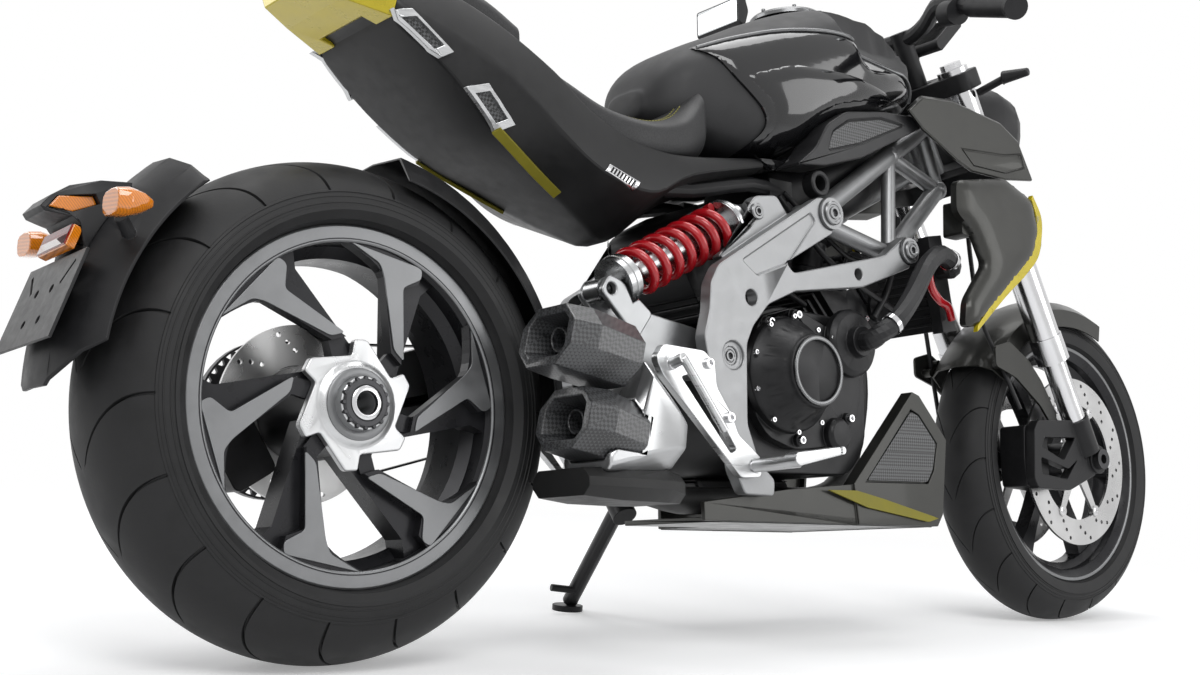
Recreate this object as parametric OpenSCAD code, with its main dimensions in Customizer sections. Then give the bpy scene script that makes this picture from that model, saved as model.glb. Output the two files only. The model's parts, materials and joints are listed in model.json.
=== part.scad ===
// Power cruiser motorcycle, parked and leaning on its side stand.
// Every piece is drawn upright, with the rear wheel's middle line over the origin,
// +X forward, +Y to the rider's left and +Z up. place() then leans it on its stand.

/* [Stance] */
// Lean to the left on the side stand, in degrees
lean = 8; // [6:0.5:10]
// Distance between the two axles
wheelbase = 1592; // [1550:1:1650]
// Distance that the whole part is moved back, so that its box is centred
centre_back = 750.53; // [700:0.01:780]
// Distance that the whole part is moved right, so that its box is centred
centre_right = 139; // [110:1:160]

/* [Rear wheel] */
// Outer radius of the rear tyre
rear_r = 324; // [316:1:332]
// Width of the rear tyre
rear_w = 208; // [196:1:210]
// Height from the rear tyre's widest line to its crown
rear_crown = 80; // [70:1:84]
// Radius of the rear rim's lip
rear_lip_r = 230; // [226:1:232]
// Width of the rear rim
rear_rim_w = 168; // [160:1:172]
// Number of spokes of the rear wheel
rear_spokes = 6; // [5:1:8]
// Radius of the rear brake disc
rear_disc_r = 120; // [110:1:130]

/* [Front wheel] */
// Outer radius of the front tyre
front_r = 300; // [294:1:306]
// Width of the front tyre
front_w = 120; // [112:1:126]
// Height from the front tyre's widest line to its crown
front_crown = 52; // [46:1:56]
// Radius of the front rim's lip
front_lip_r = 228; // [224:1:230]
// Width of the front rim
front_rim_w = 100; // [92:1:104]
// Number of spokes of the front wheel
front_spokes = 6; // [5:1:8]
// Radius of the two front brake discs
front_disc_r = 160; // [150:1:165]
// Sideways distance from the middle line to each front disc
front_disc_y = 68; // [66:1:70]
// Thickness of the brake discs
disc_t = 5; // [4:0.5:6]

/* [Axles] */
// Outer radius of the rear axle tube
rear_axle_r = 25; // [23:0.5:27]
// Radius of the hole through the rear axle tube
rear_axle_bore = 15; // [12:0.5:17]
// Outer radius of the front axle tube
front_axle_r = 12.5; // [11:0.5:14]
// Radius of the hole through the front axle tube
front_axle_bore = 9; // [8:0.5:9.5]
// Running clearance round each shaft
run_gap = 0.05; // [0.03:0.01:0.09]

/* [Fork] */
// Rake of the steering axis from the vertical, in degrees
rake = 27; // [25:0.5:29]
// Distance from the steering axis forward to the front axle
axle_offset = 45; // [40:1:50]
// Distance from the fork legs' line forward to the front axle
leg_offset = 12; // [8:1:14]
// Sideways distance from the middle line to each fork leg
leg_y = 105; // [103:1:110]
// Radius of the fork's upper tubes
fork_outer_r = 28; // [26:0.5:30]
// Radius of the fork's chrome lower tubes
fork_inner_r = 21.5; // [20:0.5:23]
// Distance from the axle up to the lower end of the upper tubes
fork_outer_low = 225; // [215:1:235]
// Distance from the axle up to the top of the upper tubes
fork_top = 790; // [785:1:800]
// Distance from the axle up to the middle of the lower clamp
lower_clamp_s = 590; // [580:1:600]
// Distance from the axle up to the middle of the upper clamp
upper_clamp_s = 763; // [755:1:770]

/* [Handlebar] */
// Half the width across the handlebar's ends
bar_half = 375; // [365:1:385]
// Radius of the handlebar tube
bar_r = 14.3; // [11:0.1:16]

/* [Side stand] */
// Sideways distance from the middle line to the side stand's foot
foot_y = 320; // [310:1:330]
// Radius of the side stand's foot
foot_r = 26; // [22:1:32]

/* [Hidden] */
$fn = 32;
wheel_fn = 96;
fit = 0.2;

// Height of the part over an upright one, so that the leaning rear tyre just meets the ground
function reach(w, crown) = sqrt(pow(w / 2 * sin(lean), 2) + pow(crown * cos(lean), 2));
lift = reach(rear_w, rear_crown) - rear_crown * cos(lean);
front_lift = reach(front_w, front_crown) - front_crown * cos(lean);
rear_z = rear_r;
front_z = front_r + (front_lift - lift) / cos(lean);

// Places that several pieces share, as [x, z] on the upright machine
pivot = [565, 416];
gearbox_sprocket = [655, 425];
clutch_c = [700, 398];
clutch_r = 88;
chain_y = 152;
rear_sprocket_r = 105;
gearbox_sprocket_r = 40;
shock_low = [364, 499];
shock_top = [645, 644];
shock_y = -125;
shock_ear_y = -shock_y + 18;
plate_y = 185;
plate_t = 22;
stand_pivot = [600, 118, 212];
stand_stowed = [-1, 0.10, 0.03];
stand_leg_r = 13;
foot_z = (foot_y * sin(lean) - lift) / cos(lean);
stand_foot = [650, foot_y, foot_z];

// ---- helpers ----
function unit(v) = v / norm(v);
function bez(a, b, c, n = 8) =
    [for (k = [0:n]) let (s = k / n) (1 - s) * (1 - s) * a + 2 * s * (1 - s) * b + s * s * c];
function rounded(p, r, n = 4) = [for (i = [0:len(p) - 1])
    let (a = p[(i + len(p) - 1) % len(p)], b = p[i], c = p[(i + 1) % len(p)],
        t = min(r, 0.45 * norm(a - b), 0.45 * norm(c - b)),
        p0 = b + unit(a - b) * t, p1 = b + unit(c - b) * t)
    each bez(p0, b, p1, n)];
function spline_at(a, b, c, d, s) = 0.5 * ((2 * b) + (c - a) * s
    + (2 * a - 5 * b + 4 * c - d) * s * s + (3 * b - a - 3 * c + d) * s * s * s);
function curve(p, n = 4) = concat([for (i = [0:len(p) - 2]) for (k = [0:n - 1])
    spline_at(p[max(i - 1, 0)], p[i], p[i + 1], p[min(i + 2, len(p) - 1)], k / n)],
    [p[len(p) - 1]]);

// Closed skin over rings of equal length, each turning right-handed about the way ahead
module loft(rings) {
    n = len(rings[0]);
    m = len(rings);
    sides = [for (i = [0:m - 2]) for (k = [0:n - 1]) let (l = (k + 1) % n)
        each [[i * n + k, (i + 1) * n + k, (i + 1) * n + l], [i * n + k, (i + 1) * n + l, i * n + l]]];
    polyhedron(points = [for (r = rings) each r],
        faces = concat([[for (k = [0:n - 1]) k]],
            sides, [[for (k = [n - 1:-1:0]) (m - 1) * n + k]]));
}

// Round tube of radius r along a path
function tube_ring(p, t, r, n, ref) = let (u = unit(cross(t, ref)), v = cross(t, u))
    [for (k = [0:n - 1]) p + r * (cos(360 * k / n) * u + sin(360 * k / n) * v)];
module pipe(path, r, n = 10, ref = [0, 0, 1]) {
    m = len(path) - 1;
    loft([for (i = [0:m]) tube_ring(path[i],
        unit(path[min(i + 1, m)] - path[max(i - 1, 0)]), r, n, ref)]);
}

// Straight round bar from p to q
module rod(p, q, r, r2 = -1) {
    d = q - p;
    translate(p)
        rotate([0, acos(d[2] / norm(d)), atan2(d[1], d[0])])
            cylinder(h = norm(d), r1 = r, r2 = r2 < 0 ? r : r2);
}

// Outline in side view, made into a plate from y0 to y1
module slab(y0, y1) {
    translate([0, y1, 0])
        rotate([90, 0, 0])
            linear_extrude(y1 - y0)
                children();
}

// Round boss about an axis across the machine, from y0 to y1
module boss(c, r, y0, y1) {
    translate([c[0], y1, c[1]])
        rotate([90, 0, 0])
            cylinder(h = y1 - y0, r = r);
}

// Turned shape about an axis across the machine, with its outline as [radius, y]
module turned(c, outline, fn = 48) {
    translate([c[0], 0, c[1]])
        rotate([-90, 0, 0])
            rotate_extrude($fn = fn)
                polygon(outline);
}

module both_sides() {
    children();
    mirror([0, 1, 0])
        children();
}

// Frame of the fork: origin on the front axle, x ahead and z up along the steering axis
module fork_frame() {
    translate([wheelbase, 0, front_z])
        rotate([0, -rake, 0])
            children();
}

module place() {
    translate([-centre_back, -centre_right, lift])
        rotate([-lean, 0, 0])
            children();
}

// Half outline of a tyre's crown as [radius, y], from its middle to its widest line
function crown_step(w, crown) = atan(w / 2 / crown * tan(lean)) / 2;
function crown_arc(r, w, crown) = let (s = crown_step(w, crown))
    concat([for (a = [0:s:90 - s / 2]) [r - crown * (1 - cos(a)), w / 2 * sin(a)]],
        [[r - crown, w / 2]]);
function tyre_half(r, w, crown, lip_r, rim_w, lip_t, seat_r) = concat(crown_arc(r, w, crown),
    [[lip_r + 4, (w + rim_w) / 4 + 2], [lip_r, rim_w / 2 - lip_t], [seat_r, rim_w / 2 - lip_t]]);
function both_halves(h) = concat([for (i = [len(h) - 1:-1:1]) [h[i][0], -h[i][1]]], h);

lip_t = 7;
seat_drop = 14;
barrel_t = 8;

module tyre(r, w, crown, lip_r, rim_w) {
    rotate([-90, 0, 0])
        rotate_extrude($fn = wheel_fn)
            polygon(both_halves(tyre_half(r, w, crown, lip_r, rim_w, lip_t, lip_r - seat_drop)));
}

// Rim's ring: lips, bead seats and a lower well between them
function rim_half(lip_r, rim_w) = let (s = lip_r - seat_drop, e = rim_w / 2) [
    [s - 14, 0], [s - 14, e * 0.42], [s, e * 0.55], [s, e - lip_t], [lip_r, e - lip_t],
    [lip_r, e - 2], [lip_r - 3, e], [lip_r - 8, e], [s - barrel_t, e * 0.8],
    [s - barrel_t, e * 0.5], [s - 14 - barrel_t, e * 0.36], [s - 14 - barrel_t, 0]];
module rim_ring(lip_r, rim_w) {
    h = rim_half(lip_r, rim_w);
    m = len(h) - 1;
    rotate([-90, 0, 0])
        rotate_extrude($fn = wheel_fn)
            polygon(concat([for (i = [0:m]) h[i]], [for (i = [m - 1:-1:1]) [h[i][0], -h[i][1]]]));
}

// ---- rear wheel ----
module rear_axle_place() {
    translate([0, 0, rear_z])
        children();
}

module rear_tyre() {
    color("#1c1c1d")
        rear_axle_place()
            tyre(rear_r, rear_w, rear_crown, rear_lip_r, rear_rim_w);
}

function polar(r, a) = [r * cos(a), r * sin(a)];
spoke_root = 58;
module rear_spoke() {
    rim_in = rear_lip_r - seat_drop - 7;
    tip = rear_star_r + 2;
    flare = bez(polar(rim_in * 0.83, 16), polar(rim_in * 0.9, 19), polar(rim_in, 34), 5);
    face = concat([polar(tip, -21), polar(rim_in * 0.81, 6), polar(rim_in * 0.9, 0), polar(rim_in, 1),
        polar(rim_in, 20)], [for (i = [len(flare) - 1:-1:0]) flare[i]], [polar(tip, -7)]);
    root = [polar(spoke_root - 8, -30), polar(tip + 1, -21), polar(tip + 1, -7), polar(spoke_root - 8, -2)];
    bar = [polar(spoke_root - 4, -62), polar(rim_in * 0.885, -5), polar(rim_in, -7), polar(rim_in, 5),
        polar(rim_in * 0.81, 7), polar(tip, -18), polar(spoke_root - 4, -20)];
    slab(-80, -62)
        polygon(face);
    slab(-rear_star_y, -62)
        polygon(root);
    slab(-65, -24)
        polygon(bar);
}

module rear_rim() {
    color("#3a3b3d")
        rear_axle_place() {
            rim_ring(rear_lip_r, rear_rim_w);
            for (i = [0:rear_spokes - 1])
                rotate([0, 360 / rear_spokes * i, 0])
                    rear_spoke();
            difference() {
                boss([0, 0], spoke_root + 6, -rear_star_y, 62);
                boss([0, 0], rear_axle_r, -80, 80);
            }
        }
}

rear_star_r = 85;
rear_star_y = 71;
module rear_hub() {
    step = 360 / rear_spokes;
    star = [for (i = [0:rear_spokes - 1]) each [polar(rear_star_r - 22, 36 + step * i),
        polar(rear_star_r, 79.5 + step * i), polar(rear_star_r - 2, 92 + step * i)]];
    color("#c9cbcd")
        rear_axle_place()
            difference() {
                union() {
                    slab(-rear_star_y - 12, -rear_star_y)
                        polygon(rounded(star, 4));
                    turned([0, 0], [[0, -rear_star_y - 18], [48, -rear_star_y - 18], [56, -rear_star_y - 11],
                        [0, -rear_star_y - 11]], 64);
                    boss([0, 0], 34, -104, -rear_star_y - 10);
                    boss([0, 0], rear_axle_r, -90, chain_y + 16);
                }
                boss([0, 0], rear_axle_bore, -110, chain_y + 20);
            }
}

rear_disc_y = 66;
module disc_holes(r, n) {
    for (i = [0:n - 1])
        rotate([0, 360 / n * i, 0])
            for (k = [0:2])
                rotate([0, 6 * k, 0])
                    boss([r - 10 - 12 * k, 0], 3.6, -200, 200);
}

module rear_disc() {
    color("#b9bbbd")
        rear_axle_place()
            difference() {
                boss([0, 0], rear_disc_r, rear_disc_y - disc_t, rear_disc_y);
                boss([0, 0], spoke_root + 8, 0, rear_disc_y + 10);
                disc_holes(rear_disc_r, 10);
            }
    color("#333436")
        rear_axle_place()
            difference() {
                boss([0, 0], spoke_root + 7, 62.5, rear_disc_y);
                boss([0, 0], rear_axle_r + 1, 50, 80);
            }
}

sprocket_t = 6;
module rear_sprocket() {
    teeth = 42;
    r = rear_sprocket_r;
    profile = [for (i = [0:teeth - 1]) for (j = [0:3]) let (a = 360 / teeth * (i + [0, 0.3, 0.5, 0.8][j]),
        q = j < 2 ? r : r - 6) [q * cos(a), q * sin(a)]];
    color("#26272a")
        rear_axle_place()
            difference() {
                union() {
                    slab(chain_y - sprocket_t / 2, chain_y + sprocket_t / 2)
                        polygon(profile);
                    boss([0, 0], 46, chain_y - 6, chain_y + 12);
                }
                boss([0, 0], rear_axle_r, 100, 200);
                for (i = [0:5])
                    rotate([0, 60 * i + 30, 0])
                        boss([72, 0], 16, 100, 200);
            }
}

// ---- front wheel ----
module front_tyre() {
    color("#1c1c1d")
        translate([wheelbase, 0, front_z])
            tyre(front_r, front_w, front_crown, front_lip_r, front_rim_w);
}

front_hub_r = 38;
module front_rim() {
    e = front_lip_r - seat_drop - 6;
    spoke = concat([[30, -13]], bez([e * 0.5, -11], [e * 0.8, -12], [e, -26], 4),
        bez([e, 26], [e * 0.8, 12], [e * 0.5, 11], 4), [[30, 13]]);
    color("#232426")
        translate([wheelbase, 0, front_z]) {
            rim_ring(front_lip_r, front_rim_w);
            for (i = [0:front_spokes - 1])
                rotate([0, 360 / front_spokes * i, 0])
                    slab(-15, 15)
                        polygon(spoke);
            difference() {
                boss([0, 0], front_hub_r, -front_disc_y + disc_t / 2, front_disc_y - disc_t / 2);
                boss([0, 0], front_axle_r + run_gap, -100, 100);
            }
        }
}

module front_discs() {
    y = [-front_disc_y - disc_t / 2, -front_disc_y + disc_t / 2];
    color("#c4c6c8")
        both_sides()
            translate([wheelbase, 0, front_z])
                difference() {
                    boss([0, 0], front_disc_r, y[0], y[1]);
                    boss([0, 0], 112, -100, 0);
                    disc_holes(front_disc_r, 14);
                }
    color("#2a2b2d")
        both_sides()
            translate([wheelbase, 0, front_z])
                difference() {
                    union() {
                        boss([0, 0], front_hub_r + 8, y[0], y[1]);
                        for (i = [0:5])
                            rotate([0, 60 * i, 0]) {
                                slab(y[0], y[1])
                                    polygon([[30, -12], [106, -7], [106, 7], [30, 12]]);
                                boss([110, 0], 11, y[0] - 2, y[1] + 2);
                            }
                    }
                    boss([0, 0], front_axle_r + 4, -100, 0);
                }
}

module front_axle() {
    tip = leg_y + 24;
    color("#2a2a2b")
        translate([wheelbase, 0, front_z])
            difference() {
                union() {
                    boss([0, 0], front_axle_r, -tip, tip);
                    both_sides()
                        boss([0, 0], 19, -tip - 2, -tip + 8);
                }
                boss([0, 0], front_axle_bore, -tip - 10, tip + 10);
            }
}

// ---- swingarm and drive ----
arm_in = rear_w / 2 + 9;
arm_out = arm_in + 26;
hub_carrier_in = rear_disc_y + 9;
module swingarm() {
    beam = rounded([[-30, rear_z + 44], [40, rear_z + 58], [330, 470], [pivot[0] - 20, 458],
        [pivot[0] + 24, pivot[1]], [pivot[0], 385], [420, 372], [330, 366], [60, rear_z - 52],
        [-40, rear_z - 34]], 26);
    yoke = rounded([[398, 440], [430, 476], [pivot[0] - 22, 458], [pivot[0] + 20, pivot[1]],
        [pivot[0] - 6, 386], [398, 380]], 14);
    color("#3b3d40")
        difference() {
            union() {
                slab(arm_in, arm_out)
                    polygon(beam);
                slab(-140, arm_in + 4)
                    polygon(yoke);
                rear_axle_place()
                    boss([0, 0], 64, hub_carrier_in, arm_out + 2);
                for (y = [shock_y - 28, shock_y + 18])
                    slab(y, y + 10)
                        polygon(rounded([[410, 430], shock_low + [-20, -4], shock_low + [-4, 20],
                            shock_low + [18, 14], [440, 470]], 8));
            }
            rear_axle_place()
                boss([0, 0], rear_axle_r + run_gap, 0, 200);
            boss(shock_low, 8, -200, 0);
            shock_frame()
                translate([0, 0, 27])
                    cylinder(h = 40, r = 42);
        }
}

// Chain: a loop round both sprockets, hollow where their teeth run
function belt(c1, r1, c2, r2, n = 16) = let (d = norm(c2 - c1), base = atan2(c2[1] - c1[1], c2[0] - c1[0]),
    a = acos((r1 - r2) / d))
    concat([for (k = [0:n]) let (t = base + a + (360 - 2 * a) * k / n) c1 + r1 * [cos(t), sin(t)]],
        [for (k = [0:n]) let (t = base - a + 2 * a * k / n) c2 + r2 * [cos(t), sin(t)]]);
chain_h = 8;
// Edge of the chain's plates: wide at each pin and narrow between pins
function link_edge(loop, out) = let (m = len(loop))
    [for (i = [0:m - 1]) let (d = unit(loop[(i + 1) % m] - loop[(i + m - 1) % m]))
        loop[i] + (i % 2 == 0 ? 1 : 0.62) * out * [d[1], -d[0]]];
function loop_points(loop, step) = let (m = len(loop), d = [for (i = [0:m - 1]) norm(loop[(i + 1) % m] - loop[i])])
    [for (i = [0:m - 1]) let (k = max(1, round(d[i] / step))) for (j = [0:k - 1])
        loop[i] + (loop[(i + 1) % m] - loop[i]) * j / k];
module chain() {
    path = belt([0, rear_z], rear_sprocket_r, gearbox_sprocket, gearbox_sprocket_r, 26);
    loop = loop_points(path, 14);
    outer = link_edge(loop, -chain_h);
    inner = link_edge(loop, chain_h);
    mid = belt([0, rear_z], rear_sprocket_r + 1, gearbox_sprocket, gearbox_sprocket_r + 1, 24);
    rim = belt([0, rear_z], rear_sprocket_r + 4, gearbox_sprocket, gearbox_sprocket_r + 4, 24);
    color("#1f2022") {
        for (s = [[chain_y - 9, chain_y - 5], [chain_y + 5, chain_y + 9]])
            slab(s[0], s[1])
                difference() {
                    polygon(outer);
                    polygon(inner);
                }
        slab(chain_y - 6, chain_y + 6)
            difference() {
                polygon(rim);
                polygon(mid);
            }
    }
}

module rear_caliper() {
    color("#2b2c2e")
        rear_axle_place()
            rotate([0, 150, 0])
                difference() {
                    slab(rear_disc_y - 34, rear_disc_y + 26)
                        polygon(rounded([[rear_disc_r - 42, -42], [rear_disc_r + 24, -42],
                            [rear_disc_r + 24, 42], [rear_disc_r - 42, 42]], 12));
                    boss([0, 0], rear_disc_r + 6, rear_disc_y - disc_t - 5, rear_disc_y + 5);
                }
}

// ---- rear shock ----
module shock_frame() {
    d = shock_top - shock_low;
    translate([shock_low[0], shock_y, shock_low[1]])
        rotate([0, atan2(d[0], d[1]), 0])
            children();
}
shock_len = norm(shock_top - shock_low);
module shock_body() {
    color("#aeb0b3")
        shock_frame()
            difference() {
                union() {
                    boss([0, 0], 17, -16, 16);
                    boss([0, shock_len], 17, -16, 16);
                    translate([0, 0, 8])
                        cylinder(h = 26, r = 14);
                    translate([0, 0, 30])
                        cylinder(h = 22, r = 37);
                    translate([0, 0, 50])
                        cylinder(h = 130, r = 16);
                    translate([0, 0, 179])
                        cylinder(h = shock_len - 190, r = 24);
                    translate([0, 0, shock_len - 42])
                        cylinder(h = 10, r = 37);
                }
                boss([0, 0], 8, -20, 20);
                boss([0, shock_len], 8, -20, 20);
            }
}

spring_turns = 7.5;
spring_wire = 6.5;
module shock_spring() {
    z0 = 52.5 + spring_wire;
    z1 = shock_len - 42.5 - spring_wire;
    n = 14;
    steps = floor(spring_turns * n);
    path = [for (k = [0:steps]) let (a = 360 * k / n) [31 * cos(a), 31 * sin(a), z0 + (z1 - z0) * k / steps]];
    color("#a3151b")
        shock_frame()
            pipe(path, spring_wire, 8);
}

// ---- frame ----
head_low = lower_clamp_s + 24;
head_high = upper_clamp_s - 24;

function fork_point(x, y, s) = [wheelbase + x * cos(rake) - s * sin(rake), y,
    front_z + x * sin(rake) + s * cos(rake)];
tube_r = 17;
joint_big = [786, -142, 655];
joint_low = [974, -142, 618];
joint_front = [1113, -112, 862];
joint_right = [1149, -112, 760];
joint_mid = joint_big + (joint_front - joint_big) * 0.69;
module trellis_frame() {
    head_top = fork_point(-axle_offset - 26, 0, head_high - 24);
    head_foot = fork_point(-axle_offset - 26, 0, head_low + 22);
    color("#8f9295")
        difference() {
            union() {
                both_sides() {
                    rod(joint_big, joint_front, tube_r);
                    rod(joint_big, joint_low, tube_r - 2);
                    rod(joint_low, joint_right, tube_r - 1);
                    rod(joint_low, joint_mid, tube_r - 5);
                    rod(joint_mid, joint_right, tube_r - 4);
                    rod(joint_right, joint_front, tube_r - 3);
                    rod(joint_front, head_top, tube_r - 0.5);
                    rod(joint_right, head_foot, tube_r - 1.5);
                    for (p = [joint_front, joint_right])
                        translate(p)
                            sphere(r = tube_r + 2);
                    translate(joint_mid)
                        sphere(r = tube_r + 1);
                    boss([joint_big[0], joint_big[2]], 25, -plate_y - 5, joint_big[1] + 22);
                    boss([joint_low[0], joint_low[2]], 21, -plate_y - 5, joint_low[1] + 20);
                }
                fork_frame()
                    translate([-axle_offset, 0, head_low])
                        cylinder(h = head_high - head_low, r = 34);
            }
            fork_frame()
                translate([-axle_offset, 0, head_low - 10])
                    cylinder(h = head_high - head_low + 20, r = 20.6);
            both_sides() {
                boss([joint_big[0], joint_big[2]], 8, -plate_y - 10, joint_big[1] - 6);
                boss([joint_low[0], joint_low[2]], 7, -plate_y - 10, joint_low[1] - 6);
            }
        }
}

module frame_plates() {
    big = [joint_big[0], joint_big[2]];
    low = [joint_low[0], joint_low[2]];
    main = rounded([[541, 548], [524, 520], [520, 480], [508, 440], [516, 400], [536, 325], [551, 311],
        [562, 250], [580, 216], [640, 214], [642, 238], [612, 262], [590, 317], [594, 435], [608, 462],
        [642, 498], [702, 524], [858, 546], low + [-20, -36], low + [4, -28], low + [-4, 26], [914, 604],
        [819, 579], [699, 552], [684, 566], big + [6, -30], big + [16, 22], big + [-24, 24]], 7);
    ear = rounded([[560, 566], [600, 560], [720, 640], [690, 676], [650, 670], shock_top + [-4, 22],
        shock_top + [-24, 0], shock_top + [-12, -24]], 8);
    color("#a9acaf")
        both_sides() {
            difference() {
                slab(-plate_y, -plate_y + plate_t)
                    polygon(main);
                slab(-plate_y - 1, -plate_y + 4)
                    polygon(rounded([[620, 540], [688, 566], big + [-34, -16], big + [-44, -4], [590, 560]], 5));
                boss([606, 505], 12, -250, 0);
                boss(pivot, 21, -250, -plate_y + 5);
                boss(pivot, 13, -250, 0);
                boss([848, 566], 9, -250, 0);
                boss(big, 25.3, -250, 0);
                boss(low, 21.3, -250, 0);
            }
            difference() {
                slab(-plate_y + plate_t, -shock_ear_y)
                    polygon(ear);
                boss(shock_top, 8, -250, 0);
                shock_frame()
                    cylinder(h = shock_len - 8, r = 39);
                translate(joint_big)
                    sphere(r = 44);
            }
        }
}

module seat_rail_form(g = 0) {
    both_sides() {
        pipe(curve([[770, -100, 700], [690, -104, 705], [560, -104, 676], [440, -96, 668]], 3), 12 + g);
        translate([730 - g, -112 - g, 690 - g])
            cube([50 + 2 * g, 24 + 2 * g, 30 + 2 * g]);
    }
}

module seat_rails() {
    color("#2c2d2f")
        seat_rail_form();
}

// ---- engine ----
case_y = 140;
module engine_block() {
    crankcase = rounded([[606, 470], [606, 300], [640, 250], [860, 250], [900, 300], [905, 400],
        [890, 500], [700, 510]], 30);
    sump = rounded([[650, 250], [870, 250], [850, 200], [690, 200]], 16);
    color("#2e2f31") {
        slab(-case_y, case_y)
            polygon(crankcase);
        slab(0, 90)
            polygon(sump);
        for (x = [690:40:850])
            slab(2, 96)
                polygon([[x, 252], [x + 8, 252], [x + 8, 202], [x, 202]]);
    }
}

module cylinder_bank(foot, angle, top) {
    head_low = top - 124;
    translate([foot[0], 0, foot[1]])
        rotate([0, angle, 0]) {
            translate([-58, -60, -20])
                cube([116, 120, top - 100]);
            for (i = [0:4])
                translate([-68, -70, 24 + 17 * i])
                    cube([136, 140, 6]);
            slab(-74, 74)
                polygon(rounded([[-72, head_low], [72, head_low], [74, top - 48], [-74, top - 48]], 8));
            slab(-78, 78)
                polygon(rounded([[-76, top - 46], [76, top - 46], [64, top - 12], [38, top], [-38, top],
                    [-64, top - 12]], 10));
            for (x = [-42, 42])
                boss([x, top - 30], 26, -84, 84);
        }
}

module engine_cylinders() {
    color("#38393b")
        difference() {
            union() {
                cylinder_bank([840, 440], 48, 232);
                cylinder_bank([712, 455], -27, 232);
            }
            slab(-200, 200)
                polygon([[560, 200], [606, 480], [700, 510], [900, 500], [940, 400], [940, 200]]);
        }
}

cover_bolts = [[662, 476], [722, 492], [800, 462], [858, 417], [833, 338], [720, 300], [642, 345], [640, 438]];
module engine_covers() {
    y = -case_y;
    color("#242527") {
        slab(y - 18, y)
            polygon(rounded([[630, 340], [628, 444], [654, 486], [724, 506], [806, 478], [872, 424], [868, 360],
                [842, 322], [780, 292], [716, 286], [658, 304]], 16));
        for (p = cover_bolts)
            boss(p, 9, y - 26, y - 16);
        turned(clutch_c, [[0, y - 17], [clutch_r, y - 17], [clutch_r, y - 30], [clutch_r - 5, y - 36],
            [clutch_r - 12, y - 40], [clutch_r - 27, y - 70], [56, y - 76], [54, y - 84], [0, y - 86]], 72);
        turned([845, 458], [[0, y - 17], [54, y - 17], [54, y - 28], [46, y - 36], [26, y - 38], [24, y - 52],
            [0, y - 52]], 48);
        turned([806, 312], [[0, y - 17], [26, y - 17], [26, y - 28], [20, y - 34], [0, y - 34]], 48);
        turned([800, 370], [[0, -y], [84, -y], [84, -y + 24], [76, -y + 34], [40, -y + 46], [0, -y + 46]], 64);
    }
}

// ---- exhaust ----
module exhaust_pipes() {
    color("#2a2a2b") {
        pipe(curve([[1024, 0, 489], [1042, 0, 462], [1042, 0, 380], [990, -10, 262], [900, -30, 222],
            [760, -60, 216], [560, -96, 210], [490, -120, 212], [430, -136, 221]], 4), 20, 12, [0, 1, 0]);
        difference() {
            pipe(curve([[558, -20, 567], [510, -40, 542], [445, -52, 508], [390, -58, 470], [366, -76, 410],
                [362, -100, 350], [364, -112, 300], [370, -114, 244]], 4), 18, 12, [0, 1, 0]);
            silencer_form();
        }
        difference() {
            loft([hex_ring([250, -176, 226], 120, 36, 12, 0), hex_ring([310, -172, 224], 150, 44, 16, 0),
                hex_ring([400, -160, 222], 150, 44, 16, 0), hex_ring([440, -150, 220], 120, 40, 12, 0)]);
            silencer_form();
        }
    }
}

tip_y = -196;
function hex_ring(c, w, h, cut, tilt) = [for (p = [[w / 2, -h / 2 + cut], [w / 2, h / 2 - cut],
    [w / 2 - cut, h / 2], [-w / 2 + cut, h / 2], [-w / 2, h / 2 - cut], [-w / 2, -h / 2 + cut],
    [-w / 2 + cut, -h / 2], [w / 2 - cut, -h / 2]])
    [c[0] - p[1] * sin(tilt), c[1] + p[0], c[2] + p[1] * cos(tilt)]];

module silencer_form() {
    loft([hex_ring([278, tip_y, 252], 100, 26, 8, 0), hex_ring([330, tip_y, 288], 110, 100, 20, -6),
        hex_ring([344, tip_y, 314], 112, 152, 24, -8), hex_ring([392, tip_y + 1, 296], 112, 112, 30, -8),
        hex_ring([424, tip_y + 8, 288], 92, 84, 26, -8)]);
}

module silencer_body() {
    color("#c2c4c6")
        difference() {
            silencer_form();
            for (t = tips)
                tip_form(t[0], t[1], 1);
        }
}

tips = [[[214, tip_y, 414], 116], [[240, tip_y, 308], 96]];
module tip_form(c, depth, g = 0) {
    loft([hex_ring(c - [g, 0, 0], 112 + 2 * g, 84 + 2 * g, 26, -14),
        hex_ring(c + [40, -1, -6], 122 + 2 * g, 90 + 2 * g, 28, -14),
        hex_ring(c + [depth + g, -2, -22], 118 + 2 * g, 86 + 2 * g, 28, -14)]);
}

module exhaust_tip(c, depth) {
    color("#303134")
        difference() {
            tip_form(c, depth);
            loft([hex_ring(c + [-12, 0, 2], 88, 62, 12, -14), hex_ring(c + [52, 0, -6], 66, 44, 10, -14)]);
        }
    color("#8f9193")
        translate(c + [20, 0, -3])
            rotate([0, 90, 0])
                difference() {
                    cylinder(h = 34, r = 17);
                    translate([0, 0, -1])
                        cylinder(h = 32, r = 14);
                }
}

module exhaust_tips() {
    for (t = tips)
        exhaust_tip(t[0], t[1]);
}

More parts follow.
